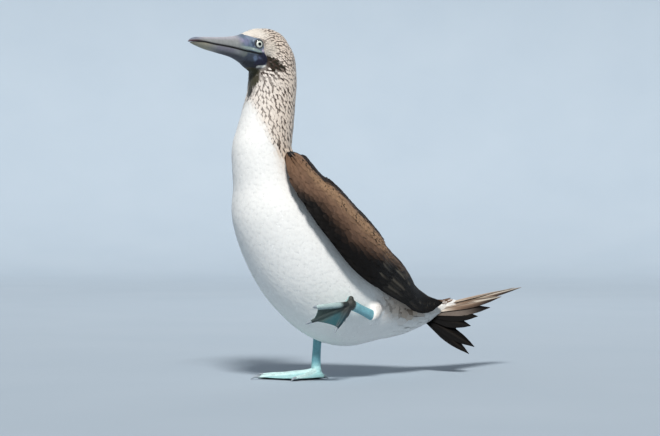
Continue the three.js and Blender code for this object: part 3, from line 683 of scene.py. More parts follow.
def plumage(points):
    """For each root: its colour, how strong the dark streak at its base is, and where it is."""
    at, left, up = head_coordinates(points)
    k, turn = spine_place(points)
    degrees = np.degrees(np.abs(turn))
    streaked = np.where(up > HEAD_END, 1.0, streak_share(k, turn))
    forehead = smoothstep(at, 0, 20) * smoothstep(up, 4, 16)
    cheek = near(at, up, (9, -3), 13)
    dark = smoothstep(streaked, 0.25, 0.75) * (1 - forehead) * (1 - 0.75 * cheek)
    behind = smoothstep(degrees, 150, 70)
    dark = dark * np.where(up > HEAD_END, 1, 0.72 + 0.28 * behind)
    tip = mix(WHITE, mix(CREAM, BUFF, 0.45 * behind), streaked)
    tip = mix(tip, srgb(0.90, 0.875, 0.835), forehead * 0.8)
    tip = mix(tip, srgb(0.84, 0.80, 0.74), cheek * 0.5)
    wash = np.exp(-(((k - 8.0) / 1.3) ** 2)) * smoothstep(degrees, 110, 60)
    tip = mix(tip, BUFF, wash * 0.7)
    throat = throat_share(k, turn) * (up < -24)
    tip = mix(tip, mix(OLIVE, GULAR, smoothstep(-up, 38, 58)), throat)
    tip = mix(tip, srgb(0.13, 0.125, 0.075), ear_patch(at, up) * (np.abs(left) > 5))
    dark = dark * (1 - 0.6 * throat)
    mantle = smoothstep(k, 9.2, 10.4) * smoothstep(60 - degrees, 0, 22)
    rump = mantle * smoothstep(k, 13.4, 14.6) * (1 - smoothstep(k, 15.0, 15.9))
    dark = np.maximum(dark, mantle * (1 - 0.5 * rump))
    tip = mix(tip, mix(BROWN_PALE, BROWN, smoothstep(k, 14.8, 15.8)), mantle * (1 - 0.6 * rump))
    flank = smoothstep(k, 12.8, 14.2) * smoothstep(degrees, 52, 74) * (1 - smoothstep(degrees, 92, 118))
    flank = flank * (1 - 0.7 * smoothstep(k, 14.9, 15.6))
    tip = mix(tip, srgb(0.80, 0.71, 0.62), flank * 0.8)
    tip = mix(tip, srgb(0.42, 0.34, 0.27), flank * blotches(points, 13.0) * 0.7)
    return tip, np.clip(dark, 0, 1), k, turn, at, up


def blotches(points, size):
    """Soft spots over the surface, from 0 to 1, about a size apart."""
    ways = np.array([(0.8, 0.5, 0.3), (-0.4, 0.9, 0.2), (0.3, -0.5, 0.8), (0.9, -0.2, -0.4)])
    waves = np.sin(points @ ways.T * (2 * math.pi / size) + np.array([0, 1.3, 2.1, 4.0]))
    return smoothstep(waves.sum(-1), 0.2, 1.8)


def ear_patch(at, up):
    """The dark olive patch behind the jaw, wide at the gape and narrow below."""
    inside = np.full(np.shape(at), 1e9)
    for a, b in zip(EAR_PATCH, EAR_PATCH[1:] + EAR_PATCH[:1]):
        way = unit(np.array([b[0] - a[0], b[1] - a[1]], float))
        inside = np.minimum(inside, (at - a[0]) * -way[1] + (up - a[1]) * way[0])
    return smoothstep(inside, -0.9, 0.9)


# The coat. PATCH is the size of each vane's place on the unwrapped skin
PATCH = 0.003


def vane_faces(rows, cols):
    """Corner numbers of one closed vane: an upper face and an under face on the same rim."""
    top = np.arange(rows * cols).reshape(rows, cols)
    under = top.copy()
    under[1:-1, 1:-1] = rows * cols + np.arange((rows - 2) * (cols - 2)).reshape(rows - 2, cols - 2)
    up = np.stack([top[:-1, :-1], top[:-1, 1:], top[1:, 1:], top[1:, :-1]], -1).reshape(-1, 4)
    down = np.stack([under[:-1, :-1], under[1:, :-1], under[1:, 1:], under[:-1, 1:]], -1).reshape(-1, 4)
    return np.concatenate([up, down])


def rim_edges(obj, per, rows, cols):
    """Marks the rim of every vane sharp, so that its upper and under face shade apart."""
    rim = np.ones((rows, cols), bool)
    rim[1:-1, 1:-1] = False
    on_rim = np.zeros(per, bool)
    on_rim[:rows * cols] = rim.ravel()
    ends = np.empty(len(obj.data.edges) * 2, int)
    obj.data.edges.foreach_get("vertices", ends)
    sharp = on_rim[ends.reshape(-1, 2) % per].all(1)
    obj.data.attributes.new("sharp_edge", "BOOLEAN", "EDGE").data.foreach_set("value", sharp)


def vanes_object(name, top, normal, thick, colours, vane, dark, roots, material):
    """One piece of many vanes. top, normal, colours and vane are (vanes, rows, cols, 3); dark is
    how strong each vane's streak is; roots is each vane's place on the unwrapped skin."""
    count, rows, cols, _ = top.shape
    inner = (slice(None), slice(1, -1), slice(1, -1))
    under = top[inner] - normal[inner] * thick
    points = np.concatenate([top.reshape(count, -1, 3), under.reshape(count, -1, 3)], 1)
    per = points.shape[1]
    one = vane_faces(rows, cols)
    faces = (one[None] + (np.arange(count) * per)[:, None, None]).reshape(-1, 4)
    obj = mesh_object(name, points.reshape(-1, 3), faces.tolist())

    def spread(values):
        both = np.concatenate([values.reshape(count, -1, 3), values[inner].reshape(count, -1, 3)], 1)
        return both.reshape(-1, 3)

    rim_edges(obj, per, rows, cols)
    add_colour(obj, spread(colours))
    add_vector(obj, "vane", spread(vane))
    mark = np.empty_like(vane)
    reach = np.abs(vane[..., 0]).max(-1, keepdims=True)
    mark[..., 0] = vane[..., 0] / np.maximum(reach, 0.01)
    mark[..., 1] = vane[..., 1] / vane[..., 1].max((1, 2), keepdims=True)
    mark[..., 2] = dark[:, None, None]
    add_vector(obj, "mark", spread(mark))
    across = np.broadcast_to(np.linspace(-0.5, 0.5, cols), (rows, cols))
    along = np.broadcast_to(np.linspace(-0.5, 0.5, rows)[:, None], (rows, cols))
    local = np.stack([across, along], -1) * PATCH
    local = np.concatenate([local.reshape(-1, 2), local[1:-1, 1:-1].reshape(-1, 2)])
    uv = (roots[:, None] + local[None]).reshape(-1, 2)
    corners = np.empty(len(obj.data.loops), int)
    obj.data.loops.foreach_get("vertex_index", corners)
    obj.data.uv_layers.new(name="OFBake").data.foreach_set("uv", uv[corners].ravel())
    obj.data.materials.append(material)
    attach(obj, "root")
    return obj


# How far the neck's feathers slant back as they run down: station and share
NAPE_SLANT = np.array([(0, 0.95), (2, 0.75), (4.5, 0.5), (7, 0.3), (9, 0)])
# Rows along a small feather, and its width there: round on the breast, narrow on head and neck
BODY_ROWS = np.array([0, 0.25, 0.5, 0.74, 0.9, 1.0])
ROUND_WIDTH = np.array([0.45, 0.85, 1.0, 0.92, 0.62, 0.14])
LANCE_WIDTH = np.array([0.7, 1.0, 0.95, 0.66, 0.34, 0.06])


def scattered(points, spacing, random):
    """Numbers of points kept so that none is nearer to another than its spacing."""
    order = random.permutation(len(points))
    cell = float(spacing.max())
    cells = {}
    kept = []
    keys = np.floor(points / cell).astype(int)
    steps = [(x, y, z) for x in (-1, 0, 1) for y in (-1, 0, 1) for z in (-1, 0, 1)]
    for i in order:
        x, y, z = keys[i]
        place = points[i]
        limit = spacing[i] ** 2
        free = True
        for dx, dy, dz in steps:
            for other in cells.get((x + dx, y + dy, z + dz), ()):
                step = place - other
                if step[0] * step[0] + step[1] * step[1] + step[2] * step[2] < limit:
                    free = False
                    break
            if not free:
                break
        if free:
            cells.setdefault((x, y, z), []).append(place)
            kept.append(i)
    return np.array(sorted(kept))


def lie(points, normals, k):
    """The way the coat lies: back over the head, down the neck and back along the body."""
    _, along, _, _ = body_frame(k)
    at, _, up = head_coordinates(points)
    down = smoothstep(-at, -8, 34)[:, None]
    on_head = smoothstep(up, -46, -20)[:, None]
    over_head = -FORWARD * (1 - 0.75 * down) - UP * (0.18 + 1.2 * down)
    slant = np.interp(k, NAPE_SLANT[:, 0], NAPE_SLANT[:, 1])[:, None]
    flow = (along + np.array([0, 1.0, 0]) * slant) * (1 - on_head) + unit(over_head) * on_head
    steps = np.linspace(0, 1, 20)
    for places, radii in THIGHS:
        line, ways = curve_points(places, len(steps))
        sizes = np.interp(steps, np.linspace(0, 1, len(radii)), radii)
        distance = np.linalg.norm(points[:, None] - line[None], axis=-1) / sizes[None]
        nearest = distance.argmin(1)
        reach = steps[nearest]
        share = (1 - smoothstep(distance.min(1), 1.05, 1.5)) * smoothstep(reach, 0.15, 0.5)
        flow = flow * (1 - share[:, None]) + ways[nearest] * share[:, None]
    flow = flow - normals * (flow * normals).sum(-1, keepdims=True)
    return unit(flow)


def skin_object():
    """One skin over head, neck, body and thighs, with the bare face's folds worked in."""
    around = 48
    turn = np.linspace(0, 2 * math.pi, around, endpoint=False)
    stations = np.linspace(0, TAIL_ROOT_END, 120)
    depth = np.interp(stations, [0, 3, 8, 16.8], [1.8, 1.8, 2.6, 2.2])
    body = np.array([body_point(np.full(around, k), turn, -d) for k, d in zip(stations, depth)])
    ahead = np.linspace(-41, 43, 70)
    head = []
    for at in ahead:
        inset = -1.4 * (1 - smoothstep(at, 6, 20))
        left, up = head_outline(np.full(around, at), turn, inset)
        head.append(head_point(at, left, up))
    parts = [closed_loft(body), closed_loft(np.array(head))]
    for places, radii in THIGHS:
        sizes = [(r - 1.5, r - 1.5) for r in radii]
        parts.append(tube(places, sizes, 24, np.array([1.0, 0, 0]), 16))
    obj = mesh_object("skin", *joined(parts))
    remeshed(obj, SKIN_GRAIN, 8)
    at, _, up = head_coordinates(mesh_points(obj.data))
    subdivided(obj, (at > 5) & (up > -36) & (up < 20))
    points = mesh_points(obj.data)
    at, left, up = head_coordinates(points)
    normals = mesh_normals(obj.data)
    bare = bare_share(at, up)
    push = np.zeros(len(points))
    gap = np.abs(up - mouth_up(np.maximum(at, 19.9))) + 3 * np.maximum(0, 21.5 - at)
    push -= 1.1 * np.exp(-((gap / 0.8) ** 2)) * bare
    push += 0.6 * near_line(at, up, [(44, -4.6), (32, -6.6), (22, -8.8)], 3.2) * bare
    push -= 0.5 * near_line(at, up, [(31.5, 7), (31, 1), (33.5, -4)], 1.8) * bare
    ring = np.hypot(at - EYE["at"], up - EYE["up"])
    push += 0.55 * np.exp(-(((ring - 7.2) / 1.0) ** 2)) * (np.abs(left) > 8)
    push += 0.5 * near_line(at, up, CRESCENT, 5.0) * bare
    points += normals * push[:, None]
    obj.data.vertices.foreach_set("co", (points * MM).ravel())
    obj.data.update()
    tip, dark, *_ = plumage(points)
    feathered = mix(tip, STREAK, dark * 0.75)
    add_colour(obj, mix(feathered, face_colour(at, up), bare))
    obj.data.materials.append(skin_material())
    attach(obj, "root")
    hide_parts("head", "neck", "torso")
    return obj


def under_wing(k, turn):
    """True where the folded wing hides the body."""
    edges = through(WING[:, 0], WING[:, 3:], np.clip(k, 8, TAIL_ROOT_END))
    angle = np.degrees(np.abs(turn))
    return (k > 8.9) & (k < 14.8) & (angle > edges[:, 0] + 14) & (angle < edges[:, 1] - 9)


def laid_on(skin, places):
    """The skin's nearest points to places, and its normals there."""
    corners = [tuple(face.vertices) for face in skin.data.polygons]
    tree = BVHTree.FromPolygons(mesh_points(skin.data).tolist(), corners)
    on_skin = np.empty((places[..., 0].size, 3))
    out = np.empty_like(on_skin)
    for i, place in enumerate(places.reshape(-1, 3)):
        found, normal, _, _ = tree.find_nearest(place)
        on_skin[i] = found
        out[i] = normal
    return on_skin.reshape(places.shape), out.reshape(places.shape)


def build_coat(skin):
    """Small feathers over the whole skin but the bare face, in four pieces."""
    random = np.random.default_rng(11)
    points = mesh_points(skin.data)
    normals = mesh_normals(skin.data)
    tip, dark, k, turn, at, up = plumage(points)
    shown = (bare_share(at, up) < 0.5) & ~under_wing(k, turn) & (at < 42)
    head = up > HEAD_END
    spacing = np.interp(k, [3, 5, 8, 10, 15], [3.2, 3.4, 4.2, 5.0, 4.8])
    spacing = np.where(head, 2.6 - 0.9 * smoothstep(at, 0, 25) + 0.6 * smoothstep(-up, 14, 34), spacing)
    shown &= k < 16.4
    chosen = np.flatnonzero(shown)
    chosen = chosen[scattered(points[chosen], spacing[chosen], random)]
    points, normals, tip, dark = points[chosen], normals[chosen], tip[chosen], dark[chosen]
    k, turn, at, up, spacing, head = (v[chosen] for v in (k, turn, at, up, spacing, head))
    flow = lie(points, normals, k)
    side = np.cross(flow, normals)
    twist = random.normal(0, 0.09, len(points))[:, None]
    flow, side = unit(flow + side * twist), unit(side - flow * twist)
    streaked = np.where(head, 1.0, streak_share(k, turn))
    lance = streaked[:, None]
    low = smoothstep(-up, 14, 34)
    length = spacing * np.where(head, 3.6 + 1.0 * low, np.interp(streaked, [0, 1], [3.6, 4.6]))
    length = length * random.uniform(0.88, 1.14, len(points))
    wide = np.where(head, 0.66 + 0.12 * low, np.interp(streaked, [0, 1], [1.0, 0.78]))
    half = spacing * wide * random.uniform(0.9, 1.12, len(points))
    lift = np.interp(streaked, [0, 1], [0.4, 1.0]) * np.where(head, 0.75 + 0.25 * low, 1.0)
    lift = lift * random.uniform(0.8, 1.25, len(points))
    width = ROUND_WIDTH * (1 - lance) + LANCE_WIDTH * lance
    count = len(points)
    cols = np.array([-1.0, 0.0, 1.0])
    run = (BODY_ROWS - 0.12)[None, :, None, None] * length[:, None, None, None] * flow[:, None, None, :]
    cross = cols[None, None, :, None] * (half[:, None] * width)[:, :, None, None] * side[:, None, None, :]
    flat = points[:, None, None, :] + run + cross
    on_skin, out = laid_on(skin, flat)
    out = unit(out * 0.5 + normals[:, None, None, :] * 0.5)
    sunk = np.interp(streaked, [0, 1], [0.15, 0.5])[:, None]
    rise = -sunk + (lift[:, None] + sunk) * BODY_ROWS[None] ** 0.9
    edge_drop = 0.05 * (cols**2)[None, None, :] * half[:, None, None]
    top = on_skin + out * (rise[:, :, None] - edge_drop)[..., None]
    spread = np.interp(streaked, [0, 1], [0.015, 0.05])
    tone = (1 + spread * random.uniform(-1, 1, count))[:, None, None, None]
    colours = np.broadcast_to(tip[:, None, None, :] * tone, top.shape)
    dark = dark * random.uniform(0.75, 1.15, count)
    vane = np.zeros_like(top)
    vane[..., 0] = cols[None, None, :] * (half[:, None] * width)[:, :, None]
    vane[..., 1] = (BODY_ROWS[None] * length[:, None])[:, :, None]
    roots = np.stack([0.03 + 0.94 * k / TAIL_ROOT_END, 0.5 + 0.47 * turn / math.pi], -1)
    soft = feather_material("small_feathers", 0.85, 0.5, 0.25, STREAK, 0.03)
    groups = [
        ("coat_head", head, "plumage_streaked"),
        ("coat_neck", ~head & (k < 7.6), "plumage_streaked"),
        ("coat_breast", ~head & (k >= 7.6) & (k < 11.2), "plumage_white"),
        ("coat_belly", ~head & (k >= 11.2), "plumage_white"),
    ]
    for name, mine, slot in groups:
        vanes_object(
            name, top[mine], out[mine], 0.12, colours[mine], vane[mine], dark[mine], roots[mine], soft
        )


# The wings
def wing_point(k, share, lift, side):
    """A point over the folded wing: share runs from its top edge, 0, to its lower edge, 1."""
    centre, _, back, _ = body_frame(k)
    w = through(WING[:, 0], WING[:, 1:], k)
    turn = np.radians(w[..., 2] + (w[..., 3] - w[..., 2]) * share)
    across = (side * (w[..., 0] + lift) * np.sin(turn))[..., None]
    deep = ((w[..., 1] + lift) * np.cos(turn))[..., None]
    return centre + np.array([1.0, 0, 0]) * across + back * deep


# Rows along and columns across a large feather and a small one
LARGE_ROWS = 13
LARGE_COLS = np.array([-1.0, -0.72, -0.38, -0.05, 0.0, 0.05, 0.38, 0.72, 1.0])
SMALL_ROWS = 8
SMALL_COLS = np.array([-1.0, -0.55, 0.0, 0.55, 1.0])


def large_width(t, blunt):
    """Width along a large feather, from a narrow root to a rounded tip."""
    start = 0.7 + 0.3 * smoothstep(t, 0, 0.3)
    end = np.sqrt(np.clip(1 - np.clip((t - blunt) / (1.004 - blunt), 0, 1) ** 2, 0.002, 1))
    return start * end


def wing_vanes(root, tip, wide, lift, side, rows, cols, sink, blunt, shaft):
    """Upper faces of feathers on the wing's surface: root and tip are (feathers, 2)."""
    count = len(root)
    t = np.linspace(0, 1, rows)
    k = root[:, :1] * (1 - t) + tip[:, :1] * t
    share = root[:, 1:] * (1 - t) + tip[:, 1:] * t
    lift = np.broadcast_to(lift, (count,))[:, None]
    wide = np.broadcast_to(wide, (count,))[:, None]
    high = sink + (lift - sink) * smoothstep(t, 0, 0.55)
    middle = wing_point(k, share, high, side)
    along = unit(np.gradient(middle, axis=1))
    out = unit(wing_point(k, share, high + 1, side) - middle)
    across = unit(np.cross(along, out))
    half = wide * large_width(t, blunt)[None]
    offset = cols[None, None, :] * half[:, :, None]
    drop = offset**2 / (2 * VANE_CURVE) + 0.15 * np.abs(cols)[None, None, :] ** 3
    ridge = shaft * (np.abs(cols) < 0.01)[None, None, :] * (1 - 0.7 * t)[None, :, None]
    top = middle[:, :, None] + across[:, :, None] * offset[..., None]
    top = top + out[:, :, None] * (ridge - drop)[..., None]
    normal = np.broadcast_to(out[:, :, None], top.shape)
    vane = np.zeros_like(top)
    vane[..., 0] = offset
    length = np.linalg.norm(middle[:, -1] - middle[:, 0], axis=-1)
    vane[..., 1] = (t[None] * length[:, None])[:, :, None]
    return top, normal, vane, k, share


def between(pair, count):
    """Even steps from the first of a pair of places to the second."""
    t = np.linspace(0, 1, count)[:, None]
    return np.asarray(pair[0], float) * (1 - t) + np.asarray(pair[1], float) * t


# Along the wing's surface: where its dark lower half begins, dark brown feathers deepened by painted shade,
# and how long one station is
DARK_AND_SHADE_LINE = np.array([
    (8, 1.25), (9.3, 1.06), (10.1, 0.86), (11.6, 0.86), (12.4, 0.76), (13.4, 0.6), (14.2, 0.54),
    (15.4, 0.5),
])
STATION_LONG = np.array([(8, 36), (10, 41), (12, 55), (14, 50), (17, 44)])
# The radius of the curve across a wing feather
VANE_CURVE = 85.0

# Long feathers from under to over: count, roots first and last, tips first and last, half width, lift
WING_TIERS = [
    (7, [(12.8, 0.94), (13.6, 0.4)], [(16.2, 0.9), (16.6, 0.72)], 8.5, -1.4),
    (12, [(11.4, 1.0), (12.9, 0.2)], [(15.4, 0.95), (16.0, 0.56)], 8.5, -0.6),
    (13, [(10.6, 1.0), (12.2, 0.1)], [(14.4, 1.03), (15.3, 0.4)], 8.5, 0.1),
    (14, [(9.8, 0.99), (11.2, 0.05)], [(13.2, 1.06), (14.5, 0.18)], 8.5, 0.8),
]
# Short feathers from under to over: stations, shares, spacing, length, half width, lift, dark centre
WING_COVERTS = [
    ((9.3, 12.5), (0.2, 1.04), 6.6, 26, 5.4, 1.6, 0.1),
    ((8.15, 11.0), (0.3, 1.06), 4.8, 16, 4.2, 2.1, 0.25),
    ((8.4, 13.5), (-0.12, 0.6), 4.4, 11, 3.6, 2.2, 1.0),
]


def wing_brown(share, k):
    """Pale brown along the top of the wing, then brown, and very dark towards its lower edge: dark brown
    feathers deepened by painted shade.
    """
    colour = mix(BROWN, BROWN_PALE, np.exp(-(((share - 0.5) / 0.14) ** 2)))
    colour = mix(colour, srgb(0.50, 0.385, 0.30), 1 - smoothstep(k, 8.4, 9.4))
    colour = mix(colour, srgb(0.27, 0.205, 0.17), smoothstep(k, 13.0, 14.4))
    colour = mix(colour, srgb(0.15, 0.115, 0.10), 1 - smoothstep(share, 0.34, 0.44))
    line = np.interp(k, DARK_AND_SHADE_LINE[:, 0], DARK_AND_SHADE_LINE[:, 1])
    # painted shade: below this line the colour runs to near black, darker than the feathers' own brown
    return mix(colour, BROWN_DARK_AND_SHADE, smoothstep(share, line - 0.2, line + 0.12))


def long_tint(share, k, random):
    """Colours over long feathers: some of the dark ones carry a paler streak beside the shaft."""
    count, rows = share.shape
    tint = wing_brown(share, k)[:, :, None, :] * random.uniform(0.88, 1.1, count)[:, None, None, None]
    tint = np.repeat(tint, len(LARGE_COLS), 2)
    beside = np.exp(-(((LARGE_COLS - 0.3) / 0.3) ** 2))
    t = np.linspace(0, 1, rows)
    along = smoothstep(t, 0.3, 0.6) * (1 - smoothstep(t, 0.8, 0.98))
    strength = random.uniform(0, 1, count) ** 3 * 0.9
    streak = strength[:, None, None] * along[None, :, None] * beside[None, None, :]
    return mix(tint, srgb(0.36, 0.34, 0.30), streak)


def build_wing(side, name):
    """Folded wing: long flight feathers under scattered coverts, over a dark core."""
    random = np.random.default_rng(23 if side > 0 else 29)
    material = feather_material(name + "_feathers", 0.58, 0.7, 0.0, srgb(0.08, 0.06, 0.05), 0.1, 0.12)
    long_parts = []
    for count, root, tip, wide, lift in WING_TIERS:
        lifts = lift + np.linspace(0, 0.6, count)
        jitter = random.normal(0, 0.05, (count, 2)) * np.array([1.0, 0.12])
        root, tip = between(root, count), between(tip, count) + jitter
        top, normal, vane, k, share = wing_vanes(
            root, tip, wide, lifts, side, LARGE_ROWS, LARGE_COLS, -3.5, 0.62, 0.25
        )
        place = np.stack([0.04 + 0.9 * (k[:, 0] - 8) / 8.8, 0.08 + 0.75 * share[:, 0]], -1)
        long_parts.append((top, normal, long_tint(share, k, random), vane, np.zeros(count), place))
    top, normal, tint, vane, dark, place = [np.concatenate(values) for values in zip(*long_parts)]
    wing = vanes_object(
        name + "_feathers", top, normal, 0.3, tint, vane, dark, place, material
    )
    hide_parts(name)
    short_parts = []
    for stations, shares, spacing, long, wide, lift, dark in WING_COVERTS:
        root = covert_roots(stations, shares, spacing, side, random)
        count = len(root)
        step = long * random.uniform(0.85, 1.15, count)
        step = step / np.interp(root[:, 0], STATION_LONG[:, 0], STATION_LONG[:, 1])
        tip = root + np.stack([step, random.normal(0, 0.015, count)], -1)
        widths = wide * random.uniform(0.85, 1.15, count)
        lifts = lift + random.uniform(-0.35, 0.35, count)
        top, normal, vane, k, share = wing_vanes(
            root, tip, widths, lifts, side, SMALL_ROWS, SMALL_COLS, -0.3, 0.5, 0.0
        )
        tint = wing_brown(share, k)[:, :, None, :] * random.uniform(0.9, 1.1, count)[:, None, None, None]
        tint = np.repeat(tint, len(SMALL_COLS), 2)
        line = np.interp(root[:, 0], DARK_AND_SHADE_LINE[:, 0], DARK_AND_SHADE_LINE[:, 1])
        marks = dark * random.uniform(0, 1.2, count) * (1 - smoothstep(root[:, 1], line - 0.2, line))
        place = np.stack([0.04 + 0.9 * (root[:, 0] - 8) / 8.8, 0.08 + 0.75 * root[:, 1]], -1)
        short_parts.append((top, normal, tint, vane, np.clip(marks, 0, 1), place))
    top, normal, tint, vane, dark, place = [np.concatenate(values) for values in zip(*short_parts)]
    place = np.clip(place, 0.01, 0.98)
    vanes_object(name + "_coverts", top, normal, 0.16, tint, vane, dark, place, material)
    core = wing_core(side, name)
    core.data.materials.append(material)


def covert_roots(stations, shares, spacing, side, random):
    """Stations and shares spread evenly over a stretch of the wing, none near another."""
    tries = 4000
    places = np.stack([random.uniform(*stations, tries), random.uniform(*shares, tries)], -1)
    points = wing_point(places[:, 0], places[:, 1], 0.0, side)
    return places[scattered(points, np.full(tries, spacing), random)]


def wing_core(side, name):
    """The wing's body under its feathers."""
    steps = 30
    shares = np.linspace(0.02, 0.98, 12)
    rings = []
    for i, k in enumerate(np.linspace(8.05, 14.8, steps)):
        t = i / (steps - 1)
        thick = 14 * (1 - t) + 4 * t
        sink = -1.4 - 3.0 * smoothstep(t, 0.4, 1)
        here = np.full(len(shares), k)
        outer = wing_point(here, shares, sink, side)
        edge = np.abs(2 * shares - 1) ** 3
        inner = wing_point(here, shares[::-1], sink - thick * (1 - 0.55 * edge), side)
        rings.append(np.concatenate([outer, inner]))
    obj = mesh_object(name + "_core", *closed_loft(np.array(rings)))
    points = mesh_points(obj.data)
    add_colour(obj, np.broadcast_to(BROWN_DARK_AND_SHADE, points.shape))
    add_vector(obj, "vane", points)
    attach(obj, "root")
    return obj


# The tail
def tail_tint(order, t, cols):
    """Pale brown middle feathers with dark ends, a grey one beside them, and below dark outer feathers
    painted near black with painted shade.
    """
    if order < 2:
        ground = mix(srgb(0.53, 0.44, 0.37), srgb(0.18, 0.14, 0.12), smoothstep(t, 0.5, 0.86))
        tint = np.repeat(ground[:, None], len(cols), 1)
        low = smoothstep(cols, 0.35, 0.9)[None] * smoothstep(t, 0.3, 0.55)[:, None]
        tint = mix(tint, srgb(0.13, 0.10, 0.09), low * 0.8)
        base = (1 - smoothstep(t, 0.12, 0.42))[:, None] * np.ones((1, len(cols)))
        tint = mix(tint, srgb(0.88, 0.85, 0.80), base * (1.0 if order else 0.5))
        edge = smoothstep(-cols, 0.5, 1.0)[None] * np.ones((len(t), 1))
        tint = mix(tint, srgb(0.86, 0.80, 0.72), edge * 0.7)
        shaft = (np.abs(cols) < 0.06)[None] * np.ones((len(t), 1))
        return mix(tint, srgb(0.84, 0.80, 0.74), shaft * 0.8)
    if order == 2:
        ground = mix(srgb(0.42, 0.38, 0.35), srgb(0.08, 0.07, 0.07), smoothstep(t, 0.5, 0.9))
        tint = np.repeat(ground[:, None], len(cols), 1)
        upper = smoothstep(-cols, 0.0, 0.5)[None] * np.ones((len(t), 1))
        return mix(tint, srgb(0.07, 0.055, 0.05), upper * 0.9)
    # painted shade: the outer feathers are dark brown, painted near black for the shade they hang in
    tint = np.broadcast_to(srgb(0.035, 0.03, 0.03), (len(t), len(cols), 3))
    shaft = (np.abs(cols) < 0.06)[None] * np.ones((len(t), 1))
    return mix(tint, srgb(0.14, 0.12, 0.10), shaft * 0.5)


def build_tail():
    """Long pointed feathers that fan out and down from the tail's root, like a tent."""
    random = np.random.default_rng(31)
    centre, along, _, _ = body_frame(TAIL_PIVOT)
    t = np.linspace(0, 1, 21)
    cols = LARGE_COLS
    rows = []
    for side in (1, -1):
        for order, (long, out, rise, roll, wide) in enumerate(TAIL_FEATHERS):
            spread, droop = (1, 1) if side > 0 else (TAIL_RIGHT["out"], TAIL_RIGHT["rise"])
            yaw = math.radians(out * spread) * side
            pitch = math.radians(rise * droop if rise < 0 else rise)
            flat = math.cos(pitch)
            way = np.array([math.sin(yaw) * flat, math.cos(yaw) * flat, math.sin(pitch)])
            tilt = math.radians(roll) * side
            across = unit(np.cross(way, np.array([math.sin(tilt), 0, math.cos(tilt)])))
            up = unit(np.cross(across, way))
            height = 1.2 - 0.9 * order + (0.25 if side > 0 else 0)
            middle = centre + along * 2 + up * height + way * (long * t)[:, None]
            taper = np.where(t < 0.5, 0.55 + 0.9 * t, 1 - np.clip((t - 0.5) / 0.5, 0, 1) ** 2.2)
            half = wide * np.maximum(taper, 0.05)
            ragged = 1 - 0.06 * random.uniform(0, 1, (len(t), len(cols))) * smoothstep(t, 0.6, 1)[:, None]
            offset = cols[None] * half[:, None] * ragged
            crown = 0.5 * (np.abs(cols) < 0.01)[None] * (1 - 0.6 * t)[:, None] - offset**2 / 110
            top = middle[:, None] + across * offset[..., None] + up * crown[..., None]
            vane = np.zeros_like(top)
            vane[..., 0] = offset
            vane[..., 1] = (t * long)[:, None]
            place = np.array([0.2 + 0.085 * order, 0.5 + 0.2 * side])
            tint = tail_tint(order, t, cols * side)
            rows.append((top, np.broadcast_to(up, top.shape), tint, vane, 0.0, place))
    material = feather_material("tail_feathers", 0.6, 0.8, 0.0, srgb(0.30, 0.23, 0.18), 0.08, 0.08)
    top, normal, tint, vane, dark, place = [np.array(values) for values in zip(*rows)]
    tail = vanes_object(
        "tail_feathers", top, normal, 0.5, tint, vane, dark, place, material
    )
    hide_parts("tail")
    build_tail_coverts(random, material)


def build_tail_coverts(random, material):
    """Short feathers that hide where the tail grows from the body."""
    cols = SMALL_COLS
    t = np.linspace(0, 1, SMALL_ROWS)
    beyond = body_frame(TAIL_ROOT_END)[1]
    last = len(SPINE) - 1
    around = 20
    turns = np.linspace(-math.pi, math.pi, around, endpoint=False)
    rows = []
    for row, start in enumerate(np.linspace(14.4, 16.7, 9)):
        for turn in turns + math.pi / around * (row % 2):
            turn = turn + random.normal(0, 0.05)
            long = 28 * random.uniform(0.85, 1.15)
            k = start + t * long / TAIL_STATION_LONG
            lift = -4.0 + np.interp(start, [14.4, 16.0], [2.9, 4.9]) * smoothstep(t, 0, 0.6)
            surface = body_point(np.minimum(k, last), np.full(len(t), turn), lift)
            above = body_point(np.minimum(k, last), np.full(len(t), turn), lift + 1)
            middle = surface + beyond * (np.maximum(k - last, 0) * TAIL_STATION_LONG)[:, None]
            way = unit(np.gradient(middle, axis=0))
            out = unit(above - surface)
            across = unit(np.cross(way, out))
            half = np.interp(start, [14.4, 16.7], [5.8, 3.4]) * large_width(t, 0.5)
            offset = cols[None] * half[:, None]
            drop = out[:, None] * (offset**2 / 40)[..., None]
            top = middle[:, None] + across[:, None] * offset[..., None] - drop
            vane = np.zeros_like(top)
            vane[..., 0] = offset
            vane[..., 1] = (t * long)[:, None]
            place = np.array([0.1 + 0.09 * row, 0.5 + 0.45 * math.remainder(turn, 2 * math.pi) / math.pi])
            rows.append((top, np.broadcast_to(out[:, None], top.shape), vane, place, middle[0]))
    top, normal, vane, place, root = [np.array(values) for values in zip(*rows)]
    tip, dark, *_ = plumage(root)
    tint = np.broadcast_to(tip[:, None, None, :], top.shape)
    dark = dark * random.uniform(0.3, 1.1, len(dark))
    vanes_object("tail_coverts", top, normal, 0.2, tint, vane, dark, place, material)


